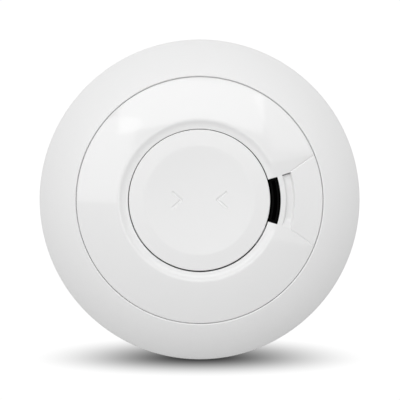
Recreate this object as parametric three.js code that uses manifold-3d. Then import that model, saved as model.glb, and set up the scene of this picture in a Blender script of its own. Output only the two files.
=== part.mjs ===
// A domestic heat detector: a twist-on head with a big test button, on a plate that is screwed to
// a wall or ceiling. Millimetres. Everything is drawn face on, x to the right, y up and z out from
// the wall, and the finished group is turned so that the detector stands upright and faces -Y.
import * as THREE from "three";
import { ConvexGeometry } from "three/addons/geometries/ConvexGeometry.js";
import { mergeVertices } from "three/addons/utils/BufferGeometryUtils.js";
import Module from "manifold-3d";

const wasm = await Module();
wasm.setup();

// ---- driving dimensions ----
const outerRadius = 57.5; // the largest radius, at the rim of the trim ring
const crownHeight = 46; // wall to the highest circle of the front cover
const seamRadius = 44.0; // middle of the seam between trim ring and front cover
const buttonRadius = 24.9;
const buttonGap = 0.45; // gap all round the button
const buttonTravel = 1.2;
const twistAngle = 18; // degrees from locked to free
const wall = 2; // wall of the moulded shells
const gap = 0.3; // clearance between neighbouring pieces

// ---- heights of the stack, from the wall outwards ----
const plateThickness = 2.4;
const plateRimHeight = 4.1;
const plateRadius = 50;
const plateBevel = 0.8;
const screwSlotX = 30; // wall screws on either side of the middle
const screwSlotHalfWidth = 2.2;
const screwSlotHalfRun = 3.5; // half of a slot's straight part
const housingBack = plateRimHeight + gap;
const housingFloor = housingBack + wall;
const batteryRadius = 8.5;
const batteryRoom = 0.5; // above and below the cell
const batteryCentre = housingFloor + batteryRadius + batteryRoom;
const boardThickness = 1.6;
const boardRecess = 1.4; // board above the housing's edge
const boardBottom = batteryCentre + batteryRadius + batteryRoom;
const boardTop = boardBottom + boardThickness;
const housingTop = boardBottom - boardRecess;
const inletHeight = 4.6;
const inletBottom = housingTop + gap;
const inletTop = inletBottom + inletHeight;
const skirtBottom = inletTop + gap;
const skirtHeight = 4; // straight outer edge of the trim ring
const chassisThickness = 1.6;
const chassisRise = 8; // room for components between board and sounder chassis
const chassisBottom = boardTop + chassisRise;
const chassisTop = chassisBottom + chassisThickness;

// ---- front surface: tilt is how far a surface leans outwards from facing straight ahead ----
const crownRadius = 29.3; // where the crown's roll meets the dome
const stepRadius = 27.6; // steepest circle of the step down to the button
const stepTilt = -29;
const crownTilt = 13;
const coverRimTilt = 23;
const ringInnerTilt = 24;
const rimInset = 0.32; // width of the fillet round the trim ring's edge
const edgeBevel = 0.35; // broken edges along the seams
const coverRadius = seamRadius - gap / 2;
const ringBore = seamRadius + gap / 2;
const buttonBore = buttonRadius + buttonGap;
const skirtLip = 1.3; // square part of the trim ring's inner edge
const ledgeWidth = 2.2; // ledge of the trim ring under the cover's edge
const ledgeThickness = 1.5;
const wellDepth = 4.2; // guide wall round the button, below the lip
const wellWall = 1.7;
const overlap = 0.5; // how far joined bodies run into each other
const clearHeight = crownHeight + 2; // top of every cutter that opens to the front

// ---- sector channel with the sound slot ----
const slotOuterRadius = 28.55;
const slotHalfAngle = 17;
const pocketInnerRadius = 30.5;
const pocketOuterRadius = 33.8;
const pocketHalfAngle = 17.1;
const pocketDepth = 1.2;
const channelCorner = [32.3, 10.3]; // where the floor's edge leaves the pocket's corner
const channelSplay = 35; // degrees of each edge from the channel's middle line
const flankTilt = 10;

// ---- test button ----
const dishRadius = 19.3;
const dishTilt = -4.7;
const annulusTilt = 6;
const buttonProud = 0.25; // button's edge above the cover's lip
const buttonFloor = 1.8; // thickness of the button's face at the dish
const buttonSkirtWall = 1.6;
const chevronReach = [5.9, 10]; // tip and tails of each mark, from the centre
const chevronHalfHeight = 3.2;
const chevronStroke = 1.1;
const chevronDepth = 0.3;
const springRadius = 2.5;
const springRoom = 3.8; // between a spring and the button's skirt
const springCircle = buttonRadius - buttonSkirtWall - springRoom - springRadius;
const springWire = 0.6;
const springTurns = 4;
const tabHalfAngle = 8; // tabs that keep the button in
const tabReach = 1.3;
const tabThickness = 1.2;
const tabPlay = 0.1; // between a tab and the foot of the guide wall, beyond the gap
const chevronFillet = 0.1; // how much shallower the marks are than the dish is deep there

// ---- bayonet ----
const lugInner = 38;
const lugStem = 2.2;
const lugReach = 5.4;
const lugHalfAngle = 8;
const lugThickness = 1.6;
const lugAngles = [0, 120, 240];
const lugRoom = 1; // degrees of clearance at each end of a lug

// ---- fasteners ----
const bossCircle = 38;
const bossRadius = 3.2;
const bossAngles = [60, 180, 300];
const screwShank = 1.25;
const screwHead = 2.5;
const screwHeadHeight = 1.8;
const postCircle = 31;
const postRadius = 2.6;
const postAngles = [90, 210, 330];
const bossPilotDepth = 9;
const postPilotDepth = 4.5;
const screwEntry = 8; // thread of a housing screw above the board
const chassisScrewLength = 6;
const recessDepth = 0.9; // cross recess of a screw
const recessHalfLength = 1.5;
const recessHalfWidth = 0.35;

// ---- sounder, behind the sound slot ----
const hornX = 17;
const hornBore = 13;
const hornWall = 1.3;
const hornDepth = 5.2;
const throatWall = 0.6;
const throatRoom = 0.35; // between the button's bore and the throat
const throatEndRoom = 0.7; // degrees, at each end of the slot
const throatEndWall = 1.3; // degrees
const portInner = 21; // port beside the throat, through which the sound leaves the horn
const portOuter = 25;
const portHalfAngle = 8;
const windowHeight = 2.5;
const pegHeight = 2.5;
const piezoThickness = 0.4;
const piezoInset = 0.6; // disc above the horn's foot
const ceramicRadius = 8;
const ceramicThickness = 0.3;
const capThickness = 1;
const capBore = 10;

// ---- board components ----
const batteryLength = 34;
const batteryY = -20;
const sliderCircle = 14; // radius at which the plate's fork moves the on-off slider
const sliderWidth = 2.4;
const sliderDepth = 3;
const forkPlay = 0.5;
const prongWidth = 1.5;
const prongHalfDepth = 2.5;
const stemX = -12; // test switch and the button's stem
const stemRadius = 2;
const thermistorAngle = 150;

const roundSides = 40;
const smallSides = 12;
const hornSides = 32;
const screwSides = 16;
const degrees = Math.PI / 180;
const sin = (angle) => Math.sin(angle * degrees);
const cos = (angle) => Math.cos(angle * degrees);
const at = (radius, angle) => [radius * cos(angle), radius * sin(angle)];

// ---- solids ----

// A closed geometry as a solid that can be cut and joined.
function solid(geometry) {
  const bare = new THREE.BufferGeometry();
  bare.setAttribute("position", geometry.getAttribute("position"));
  bare.setIndex(geometry.index);
  const merged = mergeVertices(bare, 1e-4);
  return new wasm.Manifold(
    new wasm.Mesh({
      numProp: 3,
      vertProperties: merged.attributes.position.array,
      triVerts: new Uint32Array(merged.index.array),
    }),
  );
}

// A body turned about z from [radius, height] points. It closes on itself unless it ends on the axis.
function turned(profile, sides = roundSides) {
  const points = profile.map(([r, z]) => new THREE.Vector2(r, z));
  if (THREE.ShapeUtils.isClockWise(points)) points.reverse();
  const onAxis = points[0].x === 0 && points.at(-1).x === 0;
  if (!onAxis) points.push(points[0].clone());
  return solid(new THREE.LatheGeometry(points, sides).rotateX(Math.PI / 2));
}

function disc(radius, z0, z1, sides = roundSides) {
  return turned([[0, z0], [radius, z0], [radius, z1], [0, z1]], sides);
}

function ring(inner, outer, z0, z1, sides = roundSides) {
  return turned([[inner, z0], [outer, z0], [outer, z1], [inner, z1]], sides);
}

function rod(x, y, radius, z0, z1, sides = smallSides) {
  return disc(radius, z0, z1, sides).translate([x, y, 0]);
}

function box([x0, x1], [y0, y1], [z0, z1]) {
  const geometry = new THREE.BoxGeometry(x1 - x0, y1 - y0, z1 - z0);
  return solid(geometry.translate((x0 + x1) / 2, (y0 + y1) / 2, (z0 + z1) / 2));
}

// A flat outline, drawn by its shape, from height z0 to z1.
function slab(shape, z0, z1, curveSegments = 4) {
  const geometry = new THREE.ExtrudeGeometry(shape, {
    depth: z1 - z0,
    bevelEnabled: false,
    curveSegments,
  });
  return solid(geometry.translate(0, 0, z0));
}

// A piece of a ring between two angles.
function sector(inner, outer, from, to, z0, z1) {
  const shape = new THREE.Shape();
  shape.absarc(0, 0, outer, from * degrees, to * degrees, false);
  shape.absarc(0, 0, inner, to * degrees, from * degrees, true);
  return slab(shape, z0, z1);
}

// A piece of a ring on the slot's side, the same angle above and below the middle.
const slotSector = (inner, outer, half, z0, z1) => sector(inner, outer, -half, half, z0, z1);

const join = (...solids) => solids.reduce((a, b) => a.add(b));
const cut = (body, ...tools) => tools.reduce((a, b) => a.subtract(b), body);

// Points along a dome whose tilt grows evenly from one radius to the other.
function dome([r0, z0], tilt0, r1, tilt1, steps) {
  const bend = (r1 - r0) / (sin(tilt1) - sin(tilt0));
  return Array.from({ length: steps + 1 }, (_, i) => {
    const tilt = tilt0 + ((tilt1 - tilt0) * i) / steps;
    return [r0 + bend * (sin(tilt) - sin(tilt0)), z0 - bend * (cos(tilt0) - cos(tilt))];
  });
}

// The same, where the end point is given instead of its tilt.
function domeTo([r0, z0], tilt0, [r1, z1], steps) {
  return dome([r0, z0], tilt0, r1, endTilt([r0, z0], tilt0, [r1, z1]), steps);
}

const endTilt = ([r0, z0], tilt0, [r1, z1]) =>
  (2 * Math.atan((z0 - z1) / (r1 - r0))) / degrees - tilt0;

// ---- the front surface, from the button's bore to the rim ----

const crown = dome([stepRadius, 0], stepTilt, crownRadius, crownTilt, 3);
const crownLift = crownHeight - Math.max(...crown.map(([, z]) => z));
const crownCurve = crown.map(([r, z]) => [r, z + crownLift]);
const stepFoot = dome([buttonBore, 0], 0, stepRadius, stepTilt, 2);
const stepLift = crownCurve[0][1] - stepFoot.at(-1)[1];
const lipCurve = stepFoot.map(([r, z]) => [r, z + stepLift]);
const lipHeight = lipCurve[0][1];
const coverCurve = dome(crownCurve.at(-1), crownTilt, coverRadius, coverRimTilt, 3);
const seamHeight = coverCurve.at(-1)[1];
const ringStart = [ringBore + edgeBevel, seamHeight];
const ringEnd = [outerRadius - rimInset, skirtBottom + skirtHeight];
const ringOuterTilt = endTilt(ringStart, ringInnerTilt, ringEnd);
const ringCurve = dome(ringStart, ringInnerTilt, ringEnd[0], ringOuterTilt, 4);
const rimCurve = dome(ringCurve.at(-1), ringOuterTilt, outerRadius, 90, 2);
const ledgeTop = seamHeight - wall - gap / 2;
const ledgeBore = ringBore - ledgeWidth;

// Height of the front cover's inner face at a radius of its dome.
function undersideHeight(radius) {
  const i = coverCurve.findIndex(([r]) => r >= radius);
  const [[r0, z0], [r1, z1]] = [coverCurve[i - 1], coverCurve[i]];
  return z0 + ((z1 - z0) * (radius - r0)) / (r1 - r0) - wall;
}

// The channel's floor runs straight from the lip, at the slot, to the seam.
const channelSlope = (lipHeight - seamHeight) / (coverRadius - slotOuterRadius);
const channelHeight = (r) => lipHeight - channelSlope * (r - slotOuterRadius);

function makeTrimRing() {
  const skirtBore = outerRadius - wall;
  const ledgeFoot = [ringBore, ledgeTop - ledgeThickness];
  const inside = domeTo(ledgeFoot, ringInnerTilt, [skirtBore, skirtBottom + skirtLip], 3);
  return turned([
    [skirtBore, skirtBottom],
    [outerRadius, skirtBottom],
    ...rimCurve.toReversed(),
    ...ringCurve.toReversed().slice(1),
    [ringBore, seamHeight - edgeBevel],
    [ringBore, ledgeTop],
    [ledgeBore, ledgeTop],
    [ledgeBore, ledgeTop - ledgeThickness],
    ...inside,
  ]);
}

// A wedge over the sector: four floor corners, and a lid that opens out by a spread per height.
function channelWedge(floorDrop, lidHeight, flank) {
  const [cornerX, cornerY] = channelCorner;
  const corners = [buttonRadius, seamRadius + wall].flatMap((x) => {
    const halfWidth = cornerY + (x - cornerX) * Math.tan(channelSplay * degrees);
    const floor = channelHeight(x) - floorDrop;
    const spread = flank * (lidHeight - floor);
    return [-1, 1].flatMap((side) => [
      new THREE.Vector3(x, side * halfWidth, floor),
      new THREE.Vector3(x, side * (halfWidth + spread), lidHeight),
    ]);
  });
  return solid(new ConvexGeometry(corners));
}

function makeFrontCover() {
  const wellBottom = lipHeight - wellDepth;
  const inside = coverCurve.map(([r, z]) => [r, z - wall]).filter(([r]) => r < ledgeBore - gap);
  const shell = turned([
    ...lipCurve,
    ...crownCurve.slice(1),
    ...coverCurve.slice(1, -1),
    [coverRadius, seamHeight],
    [coverRadius, ledgeTop + gap],
    [ledgeBore - gap, ledgeTop + gap],
    ...inside.toReversed(),
    [buttonBore + wellWall, lipHeight - wall],
    [buttonBore + wellWall, wellBottom],
    [buttonBore, wellBottom],
  ]);
  const reach = disc(ledgeBore - gap, wellBottom, crownHeight);
  const floorPad = channelWedge(wall, channelHeight(buttonRadius), 0).intersect(reach);
  const channel = channelWedge(0, clearHeight, 1 / Math.tan(flankTilt * degrees));
  const pocketFloor = channelHeight(pocketInnerRadius) - pocketDepth;
  const pocket = slotSector(
    pocketInnerRadius, pocketOuterRadius, pocketHalfAngle, pocketFloor, clearHeight,
  );
  const slot = slotSector(buttonBore - overlap, slotOuterRadius, slotHalfAngle, 0, clearHeight);
  const bore = disc(buttonBore, 0, clearHeight);
  const bosses = bossAngles.map((angle) =>
    rod(...at(bossCircle, angle), bossRadius, boardTop + gap, undersideHeight(bossCircle) + overlap),
  );
  const posts = postAngles.map((angle) =>
    rod(...at(postCircle, angle), postRadius, chassisTop + gap, undersideHeight(postCircle) + overlap),
  );
  const pilots = [
    ...bossAngles.map((angle) =>
      rod(...at(bossCircle, angle), screwShank + gap, boardTop, boardTop + bossPilotDepth),
    ),
    ...postAngles.map((angle) =>
      rod(...at(postCircle, angle), screwShank + gap, chassisTop, chassisTop + postPilotDepth),
    ),
  ];
  const body = join(cut(shell, channel), cut(floorPad, channel), ...bosses, ...posts);
  return cut(body, pocket, slot, bore, ...pilots);
}

// One engraved arrow mark that points to the centre, on the side given by its sign.
function chevron(side) {
  const [tip, tail] = chevronReach;
  const run = tail - tip - chevronStroke * Math.SQRT2;
  const inner = tip + chevronStroke * Math.SQRT2;
  const h = chevronHalfHeight;
  const skew = chevronStroke / Math.SQRT2;
  const outline = [
    [tip, 0], [tip + run, h], [tip + run + skew, h - skew],
    [inner, 0], [tip + run + skew, -h + skew], [tip + run, -h],
  ];
  return new THREE.Shape(outline.map(([x, y]) => new THREE.Vector2(side * x, y)));
}

const buttonEdge = lipHeight + buttonProud;
const annulusInner = dishRadius + 0.5;
const annulusDrop = (buttonRadius - edgeBevel - annulusInner) * Math.tan(annulusTilt * degrees);
const dishRim = buttonEdge + annulusDrop;
const dishSag = (dishRadius / 2) * Math.tan(-dishTilt * degrees);
const buttonUnderside = dishRim - dishSag - buttonFloor;
const skirtFoot = lipHeight - wellDepth - gap - tabThickness - tabPlay;

function makeTestButton() {
  const bend = dishRadius / sin(-dishTilt);
  const dish = [0, 0.4, 0.7, 1].map((share) => {
    const r = share * dishRadius;
    return [r, dishRim - dishSag + bend - Math.sqrt(bend * bend - r * r)];
  });
  const inner = buttonRadius - buttonSkirtWall;
  const shell = turned([
    ...dish,
    [annulusInner, dishRim],
    [buttonRadius - edgeBevel, buttonEdge],
    [buttonRadius, buttonEdge - edgeBevel],
    [buttonRadius, skirtFoot],
    [inner, skirtFoot],
    [inner, buttonUnderside],
    [0, buttonUnderside],
  ]);
  const markFloor = dishRim - dishSag - chevronDepth + chevronFillet;
  const marks = [-1, 1].map((side) => slab(chevron(side), markFloor, clearHeight));
  const tabs = postAngles.map((angle) =>
    sector(
      inner, buttonRadius + tabReach, angle - tabHalfAngle, angle + tabHalfAngle,
      skirtFoot, skirtFoot + tabThickness,
    ),
  );
  const stem = rod(stemX, 0, stemRadius, plungerTop + buttonTravel, buttonUnderside + overlap);
  return cut(join(shell, stem, ...tabs), ...marks);
}

// ---- mounting plate ----

// A slot for a wall screw, with round ends, along y.
function screwSlot(x, halfWidth, halfLength) {
  const shape = new THREE.Shape();
  shape.absarc(x, halfLength, halfWidth, 0, Math.PI, false);
  shape.absarc(x, -halfLength, halfWidth, Math.PI, 2 * Math.PI, false);
  return shape;
}

function makeMountingPlate() {
  const [pocketInner, pocketOuter, pocketReach, backPocketDepth] = [12, 24, 34, 0.9];
  const body = turned([
    [0, 0], [plateRadius - plateBevel, 0], [plateRadius, plateBevel], [plateRadius, plateRimHeight],
    [plateRadius - wall, plateRimHeight], [plateRadius - wall, plateThickness],
    [0, plateThickness],
  ]);
  const hookBottom = housingFloor + gap;
  const lugs = lugAngles.flatMap((angle) => {
    const span = [angle - lugHalfAngle, angle + lugHalfAngle];
    return [
      sector(lugInner, lugInner + lugStem, ...span, 1, hookBottom + lugThickness),
      sector(lugInner, lugInner + lugReach, ...span, hookBottom, hookBottom + lugThickness),
    ];
  });
  const forkAngle = 90 + twistAngle / 2;
  const prongMiddle = sliderWidth / 2 + forkPlay + prongWidth / 2;
  const fork = [-prongMiddle, prongMiddle].map((x) =>
    box([x - prongWidth / 2, x + prongWidth / 2],
      [sliderCircle - prongHalfDepth, sliderCircle + prongHalfDepth], [1, plateRimHeight - 0.1])
      .rotate([0, 0, forkAngle - 90]),
  );
  const slots = [-screwSlotX, screwSlotX].flatMap((x) => [
    slab(screwSlot(x, screwSlotHalfWidth, screwSlotHalfRun), -1, plateRimHeight),
    slab(screwSlot(x, 2 * screwSlotHalfWidth, screwSlotHalfRun), plateThickness - 1, plateRimHeight),
  ]);
  const pockets = [45, 135, 225, 315].map((angle) =>
    sector(pocketInner, pocketOuter, angle - pocketReach, angle + pocketReach, -1, backPocketDepth),
  );
  return cut(join(body, ...lugs, ...fork), ...slots, ...pockets);
}

// ---- rear housing ----

const shoulderInset = 5; // from the trim ring's rim to the housing's shoulder
const housingInset = 2.7;
const windowRoom = 0.4; // round a lug, across its window
const cradleX = 11;
const cradleHalfWidth = 1;
const cradleMargin = 2; // of each cradle beyond the cell

function makeRearHousing() {
  const back = plateRadius + 0.5;
  const shoulder = outerRadius - shoulderInset;
  const top = outerRadius - housingInset;
  const body = turned([
    [0, housingBack], [back, housingBack], [back + 1.5, housingBack + 0.6],
    [shoulder, housingBack + 2.2], [top, housingTop - 2], [top, housingTop],
    [top - wall, housingTop], [top - wall, housingTop - 2], [shoulder - wall, housingFloor + 1],
    [shoulder - wall - 1, housingFloor], [0, housingFloor],
  ]);
  const bosses = bossAngles.map((angle) =>
    rod(...at(bossCircle, angle), bossRadius, housingFloor - overlap, boardBottom - gap),
  );
  const wells = bossAngles.flatMap((angle) => [
    rod(...at(bossCircle, angle), screwHead + gap, housingBack - 1, housingFloor + screwHeadHeight),
    rod(...at(bossCircle, angle), screwShank + gap, housingBack, boardBottom + 1),
  ]);
  const windows = lugAngles.flatMap((angle) => {
    const free = angle - twistAngle;
    const room = lugHalfAngle + lugRoom;
    const inner = lugInner - windowRoom;
    return [
      sector(inner, lugInner + lugStem + windowRoom, free - room, angle + room, 0, housingFloor + gap),
      sector(inner, lugInner + lugReach + windowRoom, free - room, free + room, 0, housingFloor + gap),
    ];
  });
  const sliderRun = sliderCircle * sin(twistAngle / 2) + sliderWidth / 2 + gap;
  const sliderSlot = box(
    [-sliderRun, sliderRun],
    [sliderCircle - sliderDepth / 2 - gap, sliderCircle + sliderDepth / 2 + gap],
    [0, housingFloor + 1],
  );
  const cradleHeight = housingFloor + batteryRadius;
  const cradleReach = batteryRadius + cradleMargin;
  const cradles = [-cradleX, cradleX].map((x) =>
    box([x - cradleHalfWidth, x + cradleHalfWidth],
      [batteryY - cradleReach, batteryY + cradleReach], [housingFloor - overlap, cradleHeight]),
  );
  const bay = solid(
    new THREE.CylinderGeometry(batteryRadius + gap, batteryRadius + gap, batteryLength + 2, 28)
      .rotateZ(Math.PI / 2)
      .translate(0, batteryY, batteryCentre),
  );
  return cut(join(body, ...bosses, ...cradles), ...wells, ...windows, sliderSlot, bay);
}

// ---- air inlet and its insect screen ----

const inletOuter = outerRadius - 3.3;
const inletInner = inletOuter - 3.6;
const hoop = 0.8; // thickness of the two rings that carry the vanes
const vaneCount = 36;
const vaneHalfWidth = 0.5;
const screenWall = 0.4;

function makeAirInlet() {
  const hoops = [inletBottom, inletTop - hoop].map((z) => ring(inletInner, inletOuter, z, z + hoop));
  const vanes = Array.from({ length: vaneCount }, (_, i) =>
    box([inletInner + 0.4, inletOuter - 0.3], [-vaneHalfWidth, vaneHalfWidth],
      [inletBottom + 0.2, inletTop - 0.2]).rotate([0, 0, (360 / vaneCount) * (i + 0.5)]),
  );
  return join(...hoops, ...vanes);
}

const makeInsectScreen = () =>
  ring(inletInner - gap - screenWall, inletInner - gap, inletBottom, inletTop);

// ---- sounder ----

function makeSounderChassis() {
  const radius = bossCircle - bossRadius - gap;
  const plate = disc(radius, chassisBottom, chassisTop);
  const cup = ring(
    hornBore, hornBore + hornWall, chassisBottom - hornDepth, chassisBottom + overlap, hornSides,
  ).translate([hornX, 0, 0]);
  const throatTop = lipHeight - wall;
  const throatInner = buttonBore + throatRoom;
  const throatOuter = slotOuterRadius - gap;
  const half = slotHalfAngle - throatEndRoom;
  const throat = slotSector(throatInner, throatOuter, half, chassisTop - overlap, throatTop);
  const bore = slotSector(
    throatInner + throatWall, throatOuter - throatWall, half - throatEndWall, chassisTop, clearHeight,
  );
  // Sound leaves the horn through a port beside the throat and turns into it through a side window.
  const port = slotSector(portInner, portOuter, portHalfAngle, chassisBottom - overlap, clearHeight);
  const window = slotSector(
    throatInner - overlap, throatInner + throatWall + overlap, portHalfAngle,
    chassisTop, chassisTop + windowHeight,
  );
  const pegRadius = springRadius - springWire - gap;
  const pegs = postAngles.map((angle) =>
    rod(...at(springCircle, angle), pegRadius, chassisTop - overlap, chassisTop + pegHeight),
  );
  const holes = [
    rod(0, 0, pipeRadius + gap, 0, clearHeight),
    rod(stemX, 0, stemRadius + 2 * gap, 0, clearHeight),
    ...postAngles.map((angle) => rod(...at(postCircle, angle), screwShank + gap, 0, clearHeight)),
  ];
  return cut(join(plate, cup, throat, ...pegs), bore, port, window, ...holes);
}

function makePiezoDisc() {
  const z = chassisBottom - hornDepth + piezoInset;
  const brassPlate = rod(hornX, 0, hornBore - gap, z, z + piezoThickness, hornSides);
  const ceramic = rod(hornX, 0, ceramicRadius, z - ceramicThickness, z + piezoThickness / 2, hornSides);
  return join(brassPlate, ceramic);
}

function makeSounderCap() {
  const top = chassisBottom - hornDepth - gap;
  return ring(capBore, hornBore + hornWall, top - capThickness, top, hornSides)
    .translate([hornX, 0, 0]);
}

// ---- button springs ----

class Helix extends THREE.Curve {
  constructor(radius, length, turns) {
    super();
    Object.assign(this, { radius, length, turns });
  }
  getPoint(t) {
    const angle = 2 * Math.PI * this.turns * t;
    return new THREE.Vector3(
      this.radius * Math.cos(angle), this.radius * Math.sin(angle), this.length * t,
    );
  }
}

function makeSpring(angle) {
  const wire = springWire / 2;
  const bottom = chassisTop + gap + wire;
  const top = buttonUnderside - gap - wire;
  const section = new THREE.Shape().absarc(0, 0, wire, 0, 2 * Math.PI);
  const coil = new THREE.ExtrudeGeometry(section, {
    extrudePath: new Helix(springRadius - wire, top - bottom, springTurns),
    steps: springTurns * 8,
    curveSegments: 3,
  });
  return solid(coil.translate(...at(springCircle, angle), bottom));
}

// ---- circuit board and what is on it ----

const boardRadius = outerRadius - 13.5;
const seat = boardTop + gap; // foot of everything that stands on the board
const pipeRadius = 1.6;
const indicatorHeight = 4.6;
const switchHalf = 3;
const switchTop = seat + 3.5;
const plungerRadius = 1.75;
const plungerDepth = 1.2; // plunger inside its switch
const plungerTop = switchTop + 1.4;
const sliderSwitchHeight = 3.6;
const knobHalf = 1;
const knobDrop = 2.4; // knob below its switch
const knobHeight = 3.6;

function makeCircuitBoard() {
  const holes = bossAngles.map((angle) =>
    rod(...at(bossCircle, angle), screwShank + 0.5, boardBottom - 1, boardTop + 1),
  );
  return cut(disc(boardRadius, boardBottom, boardTop), ...holes);
}

// A chip of the board, with a row of legs along each long side.
function makeChip(x, y, length, width, legs) {
  const [standOff, bodyTop, legHalfWidth, legReach, legTop] = [0.3, 1.8, 0.25, 1, 0.6];
  const across = (margin) => [y - width / 2 - margin, y + width / 2 + margin];
  const body = box([x - length / 2, x + length / 2], across(0), [seat + standOff, seat + bodyTop]);
  const pitch = length / legs;
  const rows = Array.from({ length: legs }, (_, i) => {
    const legX = x - length / 2 + pitch * (i + 0.5);
    return box([legX - legHalfWidth, legX + legHalfWidth], across(legReach), [seat, seat + legTop]);
  });
  return join(body, ...rows);
}

// A radial electrolytic can, with the crimp near its foot.
function makeCapacitor(x, y, radius, height) {
  const [crimpStart, crimpEnd, crimpDepth, topBevel] = [1, 1.8, 0.35, 0.5];
  const crimpMiddle = (crimpStart + crimpEnd) / 2;
  return turned([
    [0, seat], [radius, seat], [radius, seat + crimpStart],
    [radius - crimpDepth, seat + crimpMiddle], [radius, seat + crimpEnd],
    [radius, seat + height - topBevel], [radius - topBevel, seat + height], [0, seat + height],
  ]).translate([x, y, 0]);
}

// A drum core: two flanges with the winding between them.
function makeInductor(x, y) {
  const [flange, winding, height, flangeThickness, slant] = [4.5, 3.6, 6, 1, 0.2];
  const upper = seat + height - flangeThickness;
  return turned([
    [0, seat], [flange, seat], [flange, seat + flangeThickness],
    [winding, seat + flangeThickness + slant], [winding, upper - slant],
    [flange, upper], [flange, seat + height], [0, seat + height],
  ], 24).translate([x, y, 0]);
}

function makeIndicator() {
  const [flange, flangeHeight, lens, domeStart, shoulder] = [1.9, 0.9, 1.5, 3.2, 4.1];
  return turned([
    [0, seat], [flange, seat], [flange, seat + flangeHeight], [lens, seat + flangeHeight],
    [lens, seat + domeStart], [lens - 0.4, seat + shoulder], [0, seat + indicatorHeight],
  ], screwSides);
}

function makeLightPipe() {
  const bottom = seat + indicatorHeight + gap;
  const top = buttonUnderside - buttonTravel - gap;
  const collarTop = chassisBottom - gap;
  const collar = pipeRadius + 2.5 * gap;
  return turned([
    [0, bottom], [collar, bottom], [collar, collarTop], [pipeRadius, collarTop],
    [pipeRadius, top - 0.4], [pipeRadius - 0.4, top], [0, top],
  ], screwSides);
}

function makeTestSwitch() {
  const body = box([stemX - switchHalf, stemX + switchHalf], [-switchHalf, switchHalf], [seat, switchTop]);
  const bore = rod(stemX, 0, plungerRadius + gap, switchTop - plungerDepth - 2 * gap, clearHeight);
  return cut(body, bore);
}

const makeSwitchPlunger = () =>
  rod(stemX, 0, plungerRadius, switchTop - plungerDepth, plungerTop);

function makeSliderSwitch() {
  const [halfLength, halfWidth, trackDepth] = [6, 2.6, 1.5];
  const bottom = boardBottom - gap - sliderSwitchHeight;
  const run = sliderCircle * sin(twistAngle / 2) + knobHalf + gap;
  const body = box([-halfLength, halfLength], aroundSlider(halfWidth), [bottom, boardBottom - gap]);
  const track = box([-run, run], aroundSlider(knobHalf + gap), [bottom - 1, bottom + trackDepth]);
  return cut(body, track);
}

const sliderX = -sliderCircle * sin(twistAngle / 2);
const knobBottom = boardBottom - gap - sliderSwitchHeight - knobDrop;
const aroundSlider = (margin) => [sliderCircle - margin, sliderCircle + margin];
const alongSlider = (margin) => [sliderX - margin, sliderX + margin];

const makeSwitchKnob = () =>
  box(alongSlider(knobHalf), aroundSlider(knobHalf), [knobBottom, knobBottom + knobHeight]);

// The slider reaches down through the housing's floor into the plate's fork, and holds the knob.
function makeOnOffSlider() {
  const [yokeWall, yokeFloor, yokeRise] = [1.3, 1, 2];
  const deep = sliderDepth / 2;
  const post = box(
    alongSlider(sliderWidth / 2), aroundSlider(deep), [plateThickness + gap, knobBottom - gap],
  );
  const yoke = box(
    alongSlider(knobHalf + gap + yokeWall), aroundSlider(deep),
    [knobBottom - gap - yokeFloor, knobBottom + yokeRise],
  );
  const pocket = box(
    alongSlider(knobHalf + gap), aroundSlider(sliderDepth), [knobBottom - gap, boardBottom],
  );
  return join(post, cut(yoke, pocket));
}

function makeBattery() {
  const half = batteryLength / 2;
  const [bevel, capRadius, capHeight] = [0.6, 2.8, 1.5];
  const shoulder = half - capHeight;
  const geometry = new THREE.LatheGeometry([
    [0, -half], [batteryRadius - bevel, -half], [batteryRadius, -half + bevel],
    [batteryRadius, shoulder - bevel], [batteryRadius - bevel, shoulder], [capRadius, shoulder],
    [capRadius, half], [0, half],
  ].map(([r, y]) => new THREE.Vector2(r, y)), 28);
  return solid(geometry.rotateZ(-Math.PI / 2).translate(0, batteryY, batteryCentre));
}

// A welded tag that stands at one end of the cell and is soldered to the board.
function makeBatteryTag(side) {
  const [halfThickness, halfWidth, drop] = [0.2, 2, 3];
  const x = side * (batteryLength / 2 + gap + halfThickness);
  return box([x - halfThickness, x + halfThickness], [batteryY - halfWidth, batteryY + halfWidth],
    [batteryCentre - drop, boardBottom - gap]);
}

function makeThermistor() {
  const [beadRadius, beadInset, leadSpread, leadHalf] = [1.3, 3.2, 0.7, 0.2];
  const leadZ = (boardBottom + boardTop) / 2;
  const bead = new THREE.SphereGeometry(beadRadius, 14, 10).scale(1.2, 1, 1);
  const beadX = inletInner - beadInset;
  const leads = [-leadSpread, leadSpread].map((y) =>
    box([boardRadius + gap, beadX], [y - leadHalf, y + leadHalf], [leadZ - leadHalf, leadZ + leadHalf]),
  );
  return join(solid(bead.translate(beadX, 0, leadZ)), ...leads).rotate([0, 0, thermistorAngle]);
}

// A pan-head screw driven outwards from the back, with a cross recess.
function makeScrew(radius, angle, headZ, length) {
  const [x, y] = at(radius, angle);
  const body = turned([
    [0, headZ - screwHeadHeight], [screwHead * 0.7, headZ - screwHeadHeight],
    [screwHead, headZ - screwHeadHeight + 0.7], [screwHead, headZ], [screwShank, headZ],
    [screwShank, headZ + length - 1], [0.3, headZ + length], [0, headZ + length],
  ], screwSides);
  const recess = [[recessHalfLength, recessHalfWidth], [recessHalfWidth, recessHalfLength]].map(([w, d]) =>
    box([-w, w], [-d, d], [headZ - screwHeadHeight - 1, headZ - screwHeadHeight + recessDepth]),
  );
  return cut(body, ...recess).translate([x, y, 0]);
}

const makeChassisScrew = (angle) => makeScrew(postCircle, angle, chassisBottom - gap, chassisScrewLength);

function makeHousingScrew(angle) {
  const head = housingFloor + screwHeadHeight - gap;
  return makeScrew(bossCircle, angle, head, boardTop + screwEntry - head);
}

// ---- materials ----

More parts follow.
